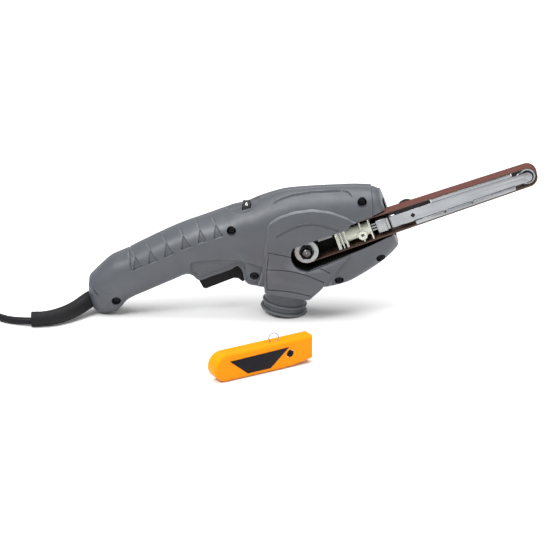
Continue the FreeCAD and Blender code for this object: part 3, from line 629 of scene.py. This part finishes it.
def housing_half(name, side, fine, coarse, count, grow=0.0, detailed=False, inset=0.0):
    """A filled half of the housing, side -1 on the belt side; with an inset, the room inside it."""
    t = station_parameters(fine, coarse)
    rows = spline(STATIONS, t)
    if inset:
        rows = wall_rows(rows, inset)
    grid = np.zeros((len(rows), count, 3))
    depth = np.zeros((len(rows), count))
    low_gap = np.zeros((len(rows), count))
    for i, (tx, tz, bx, bz, half, top_power, low_power) in enumerate(rows):
        high = math.hypot(tx - bx, tz - bz) / 2
        u, v = section_curve(top_power, low_power, half, high, count)
        cx, cz = (tx + bx) / 2, (tz + bz) / 2
        grid[i, :, 0] = cx + (tx - cx) * v
        grid[i, :, 1] = side * u * half
        grid[i, :, 2] = cz + (tz - cz) * v
        depth[i] = (1 - v) * high
        low_gap[i] = (1 + v) * high
    face = FRONT - 1.23 * inset
    past = (grid[..., 0] - PULLEY.x) * COS_ARM + (grid[..., 2] - PULLEY.z) * SIN_ARM - face
    past = np.maximum(past, 0.0)
    grid[..., 0] -= past * COS_ARM
    grid[..., 2] -= past * SIN_ARM
    du = np.gradient(grid, axis=0)
    dv = np.gradient(grid, axis=1)
    normal = np.cross(du, dv) * side
    normal /= np.maximum(np.linalg.norm(normal, axis=2, keepdims=True), 1e-9)
    x, y, z = grid[..., 0], grid[..., 1], grid[..., 2]
    height = np.full(x.shape, grow)
    if inset:
        height += lip_relief(x, z, low_gap + inset) + dish_relief(x, y, z) + scallop_relief(x, y, z)
    if detailed:
        height += grip_relief(x, depth) + lip_relief(x, z, low_gap) + dish_relief(x, y, z)
        height += scallop_relief(x, y, z) + front_relief(x, z) + tail_relief(x, z)
        height -= 0.35 * band(y, 0.55)
    height = np.where(past > 0, min(grow, 0.0), height)
    grid = grid + normal * height[..., None]
    grid[:, 0, 1] = grid[:, -1, 1] = 0.0
    points = grid.reshape(-1, 3).tolist()
    faces = []
    for i in range(len(rows) - 1):
        for j in range(count - 1):
            a = i * count + j
            faces.append((a, a + 1, a + count + 1, a + count))
        faces.append((i * count, (i + 1) * count, (i + 2) * count - 1, (i + 1) * count - 1))
    for row in (0, len(rows) - 1):
        first = row * count
        centre = len(points)
        points.append(grid[row].mean(axis=0).tolist())
        points[centre][1] = 0.0
        faces += [(first + j, first + j + 1, centre) for j in range(count - 1)]
        faces.append((first + count - 1, first, centre))
    obj = new_object(name, points, faces)
    tidy_normals(obj)
    return obj


def port_start():
    """Middle of the port's rim."""
    return (PORT_X, 0, PORT_RIM_R * math.sin(PORT_TILT) - PORT_FLAT)


def port_bore(radius, segments=48):
    """Cutter for the way through the dust port."""
    return turned("cutter", [(-5, radius), (40, radius)], port_start(), PORT_AXIS, segments)


def slot_outline():
    """Opening of the belt slot in the arm frame."""
    tail = arc(0, (SLOT_UP - SLOT_DOWN) / 2, SLOT_R, 130, 252, 24)
    top = [(FRONT + 20, SLOT_MOUTH_UP), (44, SLOT_MOUTH_UP), (40, SLOT_UP), (8, SLOT_UP)]
    return top + tail + [(FRONT + 20, SLOT_MOUTH_DOWN)]


def box_cutter(x0, x1, y0, y1, z0, z1):
    return prism("cutter", [(x0, z0), (x1, z0), (x1, z1), (x0, z1)], y0, y1)


def arm_box(s0, s1, y0, y1, h0, h1):
    return arm_prism("cutter", [(s0, h0), (s1, h0), (s1, h1), (s0, h1)], y0, y1)


def cross_cutters(x, z, y0, y1, reach, half):
    """The two slots of a cross recess."""
    return [box_cutter(x - reach, x + reach, y0, y1, z - half, z + half),
            box_cutter(x - half, x + half, y0, y1, z - reach, z + reach)]


def housing_cutters(side):
    """Everything that is taken out of both halves, or only out of the belt side."""
    well = rounded([(-100, 18), (-56.2, 18), (-56.2, 51.5), (-100, 51.5)], 2)
    cutters = [prism("cutter", well, -9.3, 9.3), box_cutter(-58.7, -51.0, -8.0, 8.0, 85, 112)]
    cutters.append(turned("cutter", [(0, 7.9), (16, 7.9)], (-198, 0, 14.5), (1, 0, 0)))
    cutters.append(port_bore(PORT_BORE_R - 0.05))
    cutters.append(arm_box(FRONT - 12, FRONT + 12, -45, -6.2, -12.2, 11.6))
    if side < 0:
        cutters.append(arm_prism("cutter", slot_outline(), -45, -13))
        for x, z in SCREWS:
            profile = [(0, 4.2), (9.0, 4.15), (9.0 + SCREW_DEPTH, 3.95), (13.0 + SCREW_DEPTH, 3.95)]
            cutters.append(turned("cutter", profile, (x, near_face(x, z) - 8.0, z), (0, 1, 0), 40))
    return cutters


SURFACE = {}


def near_face(x, z):
    """Y of the belt side's surface at a place seen square from the side."""
    if "tree" not in SURFACE:
        plain = housing_half("probe", -1, 1.6, 1.6, 110)
        work = bmesh.new()
        work.from_mesh(plain.data)
        SURFACE["tree"] = BVHTree.FromBMesh(work)
        work.free()
        bpy.data.objects.remove(plain)
    origin = Vector(to_row((x, -100, z)))
    hit = SURFACE["tree"].ray_cast(origin, Vector((0, 1, 0)))[0]
    return -20.0 if hit is None else (hit.y - SHIFT.y) / MM


def make_housing():
    """Both hollow halves, with what is cut out of each."""
    for side, node in ((-1, "housing_left"), (1, "housing_right")):
        half = housing_half(node + "_piece", side, 0.6, 1.15, 190, detailed=True)
        cavity = housing_half("cavity", side, 4.0, 4.0, 40, inset=WALL)
        bosses = [turned("boss", [(0, 5.6), (24, 5.6)], (x, near_face(x, z) - 4, z), (0, 1, 0), 32)
                  for x, z in SCREWS if side < 0]
        cut(cavity, bosses)
        cut(half, [cavity] + housing_cutters(side))
        present(half, "root", "housing", MAT["housing"], node, angle=32)


def chute_outline():
    """Outline of the raised duct panel in X and Z."""
    top = [(-34.6, 88), (-26, 92.6), (-14, 96.0), (1.7, 97.8), (16.6, 96.9), (30, 93.6), (41, 88.5)]
    right = [(37, 66), (9.5, 30.5), (-1.0, 20.6)]
    left = [(-39.4, 27.2), (-40.3, 40), (-38.4, 66)]
    return top + right + left


def ribbon(points, width, lift):
    """Cutter that follows a line on the belt side and reaches down to a height above the face."""
    smooth_line = []
    for i in range(len(points) - 1):
        a, b = Vector(points[i]), Vector(points[i + 1])
        steps = max(int((b - a).length / 2.0), 2)
        smooth_line += [a.lerp(b, k / steps) for k in range(steps)]
    smooth_line.append(Vector(points[-1]))
    rings = []
    for i, p in enumerate(smooth_line):
        ahead = smooth_line[min(i + 1, len(smooth_line) - 1)] - smooth_line[max(i - 1, 0)]
        across = Vector((-ahead.y, ahead.x)).normalized() * width / 2
        floor = min(near_face(p.x, p.y) - lift - 0.6, -27.5 - lift if p.y < 62 else 0)
        a, b, c, d = p + across * 1.2, p - across * 1.2, p - across * 0.8, p + across * 0.8
        rings.append([(a.x, -31, a.y), (b.x, -31, b.y), (c.x, floor, c.y), (d.x, floor, d.y)])
    return loft("cutter", rings)


def bowed(a, b, bow, count=9):
    """Points from a to b that bow sideways."""
    a, b = Vector(a), Vector(b)
    side = Vector((-(b - a).y, (b - a).x)).normalized()
    return [tuple(a.lerp(b, i / (count - 1)) + side * bow * math.sin(math.pi * i / (count - 1)))
            for i in range(count)]


def make_chute():
    """The raised duct panel, the duct down to the port and the panel's grooves."""
    raised = housing_half("dust_chute_piece", -1, 1.0, 1.0, 170, grow=1.6)
    outline = rounded(chute_outline(), 3.0)
    cut(raised, [prism("window", offset_outline(outline, -2.0), -32, -20, grow=7.2)], "INTERSECT")
    lower = housing_half("lower", -1, 1.0, 1.0, 170, grow=-0.4)
    cut(raised, [lower])
    duct_outline = rounded([(-39.2, 62), (-39.4, 27.2), (-1.0, 20.6), (9.5, 30.5), (33.5, 62)], 2.2)
    duct = bevelled(prism("duct", duct_outline, -28.5, 19.5), 0.9)
    cut(duct, [housing_half("lower", side, 2.0, 2.0, 90, grow=-0.5) for side in (-1, 1)])
    cut(duct, [port_bore(PORT_BORE_R, 64)])
    cut(raised, [duct], "UNION")
    cut(raised, [arm_prism("cutter", slot_outline(), -45, -13)])
    grooves = [
        bowed((-36.4, 64.5), (17.5, 45.5), 3.0), bowed((-37.2, 49.0), (12.0, 37.0), 3.5),
        bowed((-37.3, 30.6), (0.6, 24.6), 1.2),
    ]
    cutters = [ribbon(groove, 0.9, 0.0) for groove in grooves]
    cutters.append(ribbon(bowed((-29.0, 79.0), (24.0, 84.5), 8.0), 2.4, 0.3))
    cutters.append(ribbon([(-35.8, 62), (-37.4, 46), (-37.2, 31)], 0.8, 0.2))
    cut(raised, cutters)
    present(raised, "root", "housing", MAT["housing"], "dust_chute", angle=32)


def make_port():
    """Ribbed round port that the dust hose or bag goes on."""
    profile = [(0, 16.4), (0, 19.2), (0.5, 20.1), (1.3, PORT_RIM_R), (2.2, 20.2), (2.9, 19.2), (3.3, 18.0),
               (6.2, 17.7), (6.6, 18.6), (7.2, 19.3), (8.2, 19.4), (8.9, 18.8), (9.3, 17.8), (13.2, 17.7),
               (15, 18.4), (19, 20.8), (23, 21.4), (24, 21.2), (24, PORT_BORE_R), (2.0, PORT_BORE_R)]
    port = lathe("dust_port_piece", profile, port_start(), PORT_AXIS, 128)
    cut(port, [box_cutter(-60, 20, -30, 30, -10, 0.0)])
    present(port, "root", "housing", MAT["housing"], "dust_port", angle=28)


def make_slot_liner():
    """Dark tunnel that the belt runs in, with stiffening ribs."""
    inner = ([(FRONT - 1.2, 13.5), (0, 13.5)] + arc(0, -1.6, 15.1, 92, 262, 22)
             + [(4, -16.4), (22, -14.7), (FRONT - 1.2, -14.7)])
    shell = arm_prism("slot_liner", offset_outline(inner, 1.1), -24.3, -6.9)
    cut(shell, [arm_prism("cutter", inner, -30, -8.0),
                turned("cutter", [(0, 5), (20, 5)], (PULLEY.x, -20, PULLEY.z), (0, 1, 0), 40),
                turned("cutter", [(0, 2.3), (20, 2.3)], from_arm(40.8, -20, 0), (0, 1, 0), 24),
                arm_box(60, FRONT + 5, -30, -6, -14.6, 13.4)])
    cut(shell, [housing_half("inner", -1, 2.0, 2.0, 90, grow=-1.2)], "INTERSECT")
    ribs = []
    for i in range(13):
        s = -2 + 2.7 * i
        low = -16.3 if s < 4 else -16.3 + min((s - 4) * 0.09, 1.7)
        ribs.append(arm_box(s, s + 0.7, -23.6, -8.0, low, low + 2.0))
    for i in range(9):
        s = 12.0 + 2.4 * i
        ribs.append(arm_box(s, s + 0.7, -9.6, -7.9, -9, 9))
    liner = join("slot_liner", [shell] + ribs)
    present(liner, "root", "black_plastic", MAT["cavity"], angle=30)


def make_screws():
    """Round screw heads with a cross recess, deep in their holes."""
    parts = []
    for x, z in SCREWS:
        face = near_face(x, z) + SCREW_DEPTH
        profile = [(0.35, 1.4), (0.0, 2.4), (0.25, 3.2), (0.9, 3.8), (2.4, 3.8), (2.5, 1.6), (12, 1.6)]
        head = turned("screw", profile, (x, face, z), (0, 1, 0), 32)
        parts.append(cut(head, cross_cutters(x, z, face - 1, face + 1.6, 2.1, 0.45)))
    screws = join("housing_screws_piece", parts)
    present(screws, "root", "dark_steel", MAT["dark_steel"], "housing_screws", angle=30)


# ---- belt and drive ---------------------------------------------------------------------
def loop_path(extra, per_arc=40, per_run=60):
    """Belt line round both rollers in the arm frame."""
    r1, r2 = PULLEY_R + extra, NOSE_R + extra
    lean = math.asin((r1 - r2) / REACH)
    s, c = math.sin(lean), math.cos(lean)
    top = [(r1 * s, r1 * c), (REACH + r2 * s, r2 * c)]
    points = []
    for i in range(per_run):
        f = i / per_run
        points.append((top[0][0] + (top[1][0] - top[0][0]) * f, top[0][1] + (top[1][1] - top[0][1]) * f))
    first = math.degrees(math.atan2(r2 * c, r2 * s))
    points += arc(REACH, 0, r2, first, -first, per_arc)[:-1]
    for i in range(per_run):
        f = i / per_run
        points.append((top[1][0] + (top[0][0] - top[1][0]) * f, -(top[1][1] + (top[0][1] - top[1][1]) * f)))
    points += arc(0, 0, r1, -first, -360 + first, per_arc)[:-1]
    return points


def make_belt():
    """Abrasive belt: grit outside, cloth backing inside, softly rounded edges."""
    inner, outer = loop_path(BELT_GAP), loop_path(BELT_GAP + BELT_THICK)
    count = len(inner)
    section = [(1.0, BELT_NEAR + 0.15), (1.0, BELT_FAR - 0.15), (0.8, BELT_FAR), (0.0, BELT_FAR),
               (0.0, BELT_NEAR), (0.8, BELT_NEAR)]
    points = []
    for a, b in zip(inner, outer):
        for f, y in section:
            points.append(from_arm(a[0] + (b[0] - a[0]) * f, y, a[1] + (b[1] - a[1]) * f))
    faces, kinds = [], []
    width = len(section)
    for i in range(count):
        k = (i + 1) % count
        for j in range(width):
            m = (j + 1) % width
            faces.append((i * width + j, k * width + j, k * width + m, i * width + m))
            kinds.append(0 if j in (0, 1, 5) else 1)
    belt = new_object("sanding_belt_piece", points, faces)
    belt.data.materials.append(MAT["grit"])
    belt.data.materials.append(MAT["backing"])
    for polygon, kind in zip(belt.data.polygons, kinds):
        polygon.material_index = kind
    tidy_normals(belt)
    smooth(belt, 35)
    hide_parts("sanding_belt")
    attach(belt, "root")


def make_mechanism():
    """The small steel, nylon and plastic parts, with their edges rounded."""
    for node, width, look in (
            ("pulley_washer", 0.35, "dull"), ("belt_guard", 0.2, "zinc"), ("tension_carrier", 0.3, "nylon"),
            ("guide_rods", 0.15, "bright"), ("arm_block", 0.5, "dull"), ("belt_arm", 0.3, "steel"),
            ("upper_platen", 0.2, "steel"), ("lower_platen", 0.2, "steel"), ("nose_axle", 0.25, "bright"),
            ("guide_plate", 0.15, "dark_steel"), ("tracking_knob", 0.5, "black"),
            ("tracking_bracket", 0.3, "steel"), ("trigger", 1.3, "black"),
            ("speed_dial", 0.3, "dial"), ("cover_screw", 0.3, "black"), ("plug_body", 1.2, "black"),
            ("plug_pins", 0.4, "bright"), ("cord_tie", 0.4, "black_soft"), ("cover_label", 0.1, "label"),
            ("drive_pulley", 0.4, "black_soft")):
        refined(node, width, MAT[look], 3 if width > 0.6 else 2)


def make_regulator():
    """The dial's rotary control, with the corner under the dish cut away."""
    control, body, slot = node_copy("dial_regulator")
    cut(control, [box_cutter(-70, -60.6, -10, 10, 92.4, 100)])
    present(control, body, slot, MAT["black"], "dial_regulator")


def make_coil_springs():
    """Copies of the coil springs in bright steel, standing for their nodes; they keep their shape as the
    joint moves.
    """
    for node, joint, axis, anchor, keep in (
            ("tension_spring", "arm_retract", ARM_AXIS, from_arm(42.85, -15.0, 0), 0.25),
            ("trigger_spring", "trigger_press", (0, 0, 1), (-82.4, 0, 48.65), 0.45)):
        coil, body, slot = node_copy(node)
        present(coil, body, slot, MAT["bright"], node)
        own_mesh(coil)


def make_gap_shade_strips():
    """Thin dark sheets of painted shade: in the gaps between plate and belt, in the plate's hole and by the
    guide.
    """
    rear = [(81.5, 5.25), (114.5, 5.25), (114.5, 8.4), (98.0, 8.9), (76.5, 9.1), (76.5, 7.9), (81.5, 7.9)]
    front = [(187.0, 4.35), (190.5, 4.35), (196.2, 7.0), (192.0, 7.4), (187.0, 7.6)]
    # dark strips behind the gaps between the belt and the plate: painted shade
    strips = [arm_prism("spring", outline, -20.4, -19.6) for outline in (rear, front)]
    # dark diamond in the plate's hole: painted shade
    strips.append(arm_prism("plug", [(94.2, 0), (96.4, -2.2), (98.6, 0), (96.4, 2.2)], -20.2, -19.3))
    shade_strips = join("gap_shade_strips", strips)
    present(shade_strips, "arm", "dark_steel", MAT["dark_steel"], angle=30)
    # dark tab by the guide: painted shade in the gap
    tab = arm_prism("gap_shade_tab", [(76.25, 5.9), (82.0, 5.9), (82.0, 8.5), (76.25, 8.5)], -19.3, -18.5)
    present(tab, "root", "dark_steel", MAT["dark_steel"])


def make_pulley_nut():
    """Black hexagon nut with rounded corners, and the round socket screw in its middle."""
    hexagon = [(PULLEY.x + 6.7 * math.cos(a), PULLEY.z + 6.7 * math.sin(a))
               for a in (math.radians(60 * i) for i in range(6))]
    face = rounded(hexagon, 0.9, 4)
    inner = offset_outline(face, -0.7)
    nut = loft("pulley_nut_piece", [[(x, y, z) for x, z in ring] for y, ring in (
        (-23.5, face), (-26.5, face), (-27.0, offset_outline(face, -0.25)), (-27.2, inner))])
    cone = [(0, 4.9), (0.9, 3.9), (1.3, 3.7)]
    cut(nut, [turned("cutter", cone, (PULLEY.x, -27.21, PULLEY.z), (0, 1, 0))])
    present(nut, "drive", "dark_steel", MAT["dark_steel"], "pulley_nut", angle=25)
    profile = [(0.5, 1.1), (0.1, 1.35), (0.0, 1.9), (0.15, 2.7), (0.75, 3.45), (1.35, 3.55), (2.4, 3.5)]
    head = turned("pulley_screw_piece", profile, (PULLEY.x, -28.6, PULLEY.z), (0, 1, 0))
    cut(head, cross_cutters(PULLEY.x, PULLEY.z, -29, -27.4, 1.6, 0.4))
    present(head, "drive", "dark_steel", MAT["screw"], "pulley_screw", angle=25)


def make_nose_roller():
    """Turned roller with a crowned rim and a dark groove round its seat."""
    start = from_arm(REACH, -18.9, 0)
    hub = Vector(to_row(start))
    profile = [(0.0, 2.05), (0.0, 4.3), (0.9, 4.5), (0.9, 5.3), (0.0, 5.5), (0.0, 6.9), (0.35, 7.35),
               (0.9, 7.45), (4.85, 7.5), (8.8, 7.45), (9.35, 7.35), (9.7, 6.9), (9.7, 2.05)]
    roller = lathe("nose_roller_piece", profile, start, (0, 1, 0), 96)
    roller.data.materials.append(MAT["bright"])
    roller.data.materials.append(MAT["dark_steel"])
    for polygon in roller.data.polygons:
        offset = (polygon.center - hub) / MM
        if 4.2 < math.hypot(offset.x, offset.z) < 5.55 and offset.y < 1.0:
            polygon.material_index = 1
    smooth(roller, 30)
    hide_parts("nose_roller")
    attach(roller, "nose")


def make_cover():
    """The belt cover, softened all round."""
    refined("belt_cover", 1.1, MAT["cover"], 4, angle=50)
    refined("cover_ring", 0.05, MAT["bright"], 1)


# ---- cord -------------------------------------------------------------------------------
SLEEVE_LINE = [(-183, 0, 14.5), (-190, -2.5, 13), (-199, -13, 9.6), (-208, -23, 8.0), (-219, -31, 7.0),
               (-230, -35, 6.5), (-240, -35, 6.3)]
CORD_R, CORD_Z = 3.1, 3.2                      # radius of the cord and height of its middle on the floor
COIL = Vector((-345.0, 30.0))
COIL_R, COIL_BAND, COIL_RISE = 44.7, 19.5, 6.2 # outer turn, width of the band of turns, second layer
COIL_TURNS, COIL_STEPS = 7.1, 20
LEAD_ROUTE = [(-236, -35, 4.6), (-254, -32, CORD_Z), (-270, -22, CORD_Z), (-281, -6, CORD_Z),
              (-287, 13, CORD_Z)]
PLUG_ROUTE = [(-332, 79, 4.2), (-349, 86, CORD_Z), (-366, 91, CORD_Z)]


def coil_route():
    """Two layers of turns: inwards on the floor, then outwards on top."""
    points = []
    total = int(COIL_TURNS * COIL_STEPS)
    for i in range(total + 1):
        f = i / total
        angle = math.radians(6) + 2 * math.pi * COIL_TURNS * f
        inward = 2 * f if f < 0.5 else 2 * (1 - f)
        radius = COIL_R - COIL_BAND * inward
        rise = min(max((f - 0.47) / 0.06, 0.0), 1.0)
        points.append((COIL.x + radius * math.cos(angle), COIL.y + radius * math.sin(angle),
                       CORD_Z + COIL_RISE * rise))
    return points


def nurbs(name, points, radius):
    """A round curve along the points."""
    curve = bpy.data.curves.new(name, "CURVE")
    curve.dimensions = "3D"
    line = curve.splines.new("NURBS")
    line.points.add(len(points) - 1)
    for target, point in zip(line.points, to_row(points)):
        target.co = (*point, 1.0)
    line.order_u = 3
    line.use_endpoint_u = True
    line.resolution_u = 6
    curve.bevel_depth = radius * MM
    curve.bevel_resolution = 6
    curve.use_fill_caps = True
    obj = bpy.data.objects.new(name, curve)
    scene.collection.objects.link(obj)
    return obj


def make_cord():
    """Mains lead: out of the sleeve, along the floor, round the coil and into the plug."""
    cord = nurbs("mains_lead", LEAD_ROUTE + coil_route() + PLUG_ROUTE, CORD_R)
    cord.data.materials.append(MAT["cord"])
    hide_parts("mains_cord", "cord_coil")
    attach(cord, "root")


def make_sleeve():
    """Tapered rubber sleeve with a hollow mouth and a slight lip at its end."""
    probe = nurbs("sleeve_line", SLEEVE_LINE, 0.0)
    line = bpy.data.meshes.new_from_object(probe)
    centres = [v.co.copy() for v in line.vertices]
    bpy.data.objects.remove(probe)
    count = len(centres)
    rings = []

    def ring(i, radius):
        ahead = (centres[min(i + 1, count - 1)] - centres[max(i - 1, 0)]).normalized()
        side = ahead.cross(Vector((0, 0, 1))).normalized()
        up = side.cross(ahead)
        place = (centres[i] - SHIFT) / MM
        return [tuple(place + (side * math.cos(a) + up * math.sin(a)) * radius)
                for a in (2 * math.pi * k / 40 for k in range(40))]

    for i in range(count):
        f = i / (count - 1)
        radius = 7.4 - 1.25 * f + (0.25 if f > 0.94 else 0.0)
        rings.append(ring(i, radius))
    for i in range(count - 1, int(count * 0.72), -1):
        f = i / (count - 1)
        rings.append(ring(i, 4.9 - (1 - f) * 6))
    sleeve = loft("cord_sleeve_piece", rings)
    cut(sleeve, [box_cutter(-260, -160, -80, 20, -5, 0.0)])
    present(sleeve, "root", "black_rubber", MAT["black_soft"], "cord_sleeve", angle=40)


def make_dial_mark():
    """A light number on the dial's rim."""
    text = bpy.data.curves.new("dial_number", "FONT")
    text.body = "6"
    text.size = 5.0 * MM
    text.extrude = 0.12 * MM
    text.align_x, text.align_y = "CENTER", "CENTER"
    obj = bpy.data.objects.new("dial_number", text)
    scene.collection.objects.link(obj)
    angle = math.radians(52)
    centre = Vector((-54.75, 0, 94.5))
    out = Vector((0, -math.cos(angle), math.sin(angle)))
    obj.location = Vector(to_row(centre + out * 7.55))
    obj.rotation_euler = (math.pi / 2 - angle, 0, 0)
    bpy.context.view_layer.update()
    mesh = bpy.data.meshes.new_from_object(obj)
    mesh.transform(obj.matrix_world)
    bpy.data.objects.remove(obj)
    solid = bpy.data.objects.new("dial_number", mesh)
    scene.collection.objects.link(solid)
    present(solid, "dial", "black_plastic", MAT["dial_mark"])


def dress_inner_nodes():
    """Materials for the CAD pieces that keep their own shape."""
    looks = {"bright_steel": "bright", "steel": "steel", "copper": "copper", "laminations": "core",
             "carbon": "carbon", "cast": "cast", "brass": "brass", "board": "board", "black_plastic": "black",
             "dark_steel": "dark_steel"}
    slots = {s["node"]: s["material_slot"] for s in frame["record"]["subparts"]}
    for node, obj in frame["nodes"].items():
        if obj.hide_render:
            continue
        obj.data.materials.clear()
        obj.data.materials.append(MAT[looks[slots[node]]])


# ---- stage ------------------------------------------------------------------------------
def make_stage():
    """Plain pale floor, soft light all round and the camera."""
    look = Look("pale_floor", 0.7)
    look.colour(look.noise(2, 2), [(0.3, (0.86, 0.86, 0.86)), (0.7, (0.88, 0.88, 0.88))])
    mesh = bpy.data.meshes.new("floor")
    half, level = 8, -0.0002
    corners = [(-half, -half, level), (half, -half, level), (half, half, level), (-half, half, level)]
    mesh.from_pydata(corners, [], [(0, 1, 2, 3)])
    floor = bpy.data.objects.new("floor", mesh)
    scene.collection.objects.link(floor)
    floor.data.materials.append(look.material)

    world = bpy.data.worlds.new("studio")
    scene.world = world
    world.use_nodes = True
    world.node_tree.nodes["Background"].inputs["Color"].default_value = (1, 1, 1, 1)
    world.node_tree.nodes["Background"].inputs["Strength"].default_value = 0.55

    for name, place, size, power in (
            ("key", (-0.9, -0.9, 1.6), 0.8, 30), ("top", (0.1, 0.35, 2.0), 2.0, 47),
            ("fill", (1.4, -1.2, 0.8), 0.8, 5)):
        light = bpy.data.lights.new(name, "AREA")
        light.energy = power
        light.size = size
        lamp = bpy.data.objects.new(name, light)
        lamp.location = place
        lamp.rotation_mode = "QUATERNION"
        lamp.rotation_quaternion = (Vector((0, 0, 0.05)) - Vector(place)).to_track_quat("-Z", "Y")
        scene.collection.objects.link(lamp)

    elevation, distance, view_width = math.radians(21.0), 3.0, 0.477
    target = Vector(to_row((-30.3, 0, 33.4)))
    data = bpy.data.cameras.new("camera")
    data.sensor_width = 36.0
    data.lens = data.sensor_width * distance / view_width
    data.clip_end = 30
    camera = bpy.data.objects.new("camera", data)
    back = Vector((0, -math.cos(elevation), math.sin(elevation)))
    camera.location = target + back * distance
    camera.rotation_mode = "QUATERNION"
    camera.rotation_quaternion = (-back).to_track_quat("-Z", "Y")
    scene.collection.objects.link(camera)
    scene.camera = camera
    scene.view_settings.view_transform = "Standard"


make_stage()
make_housing()
make_chute()
make_port()
make_slot_liner()
make_screws()
make_belt()
make_mechanism()
make_gap_shade_strips()
make_regulator()
make_coil_springs()
make_pulley_nut()
make_nose_roller()
make_cover()
make_sleeve()
make_cord()
make_dial_mark()
dress_inner_nodes()
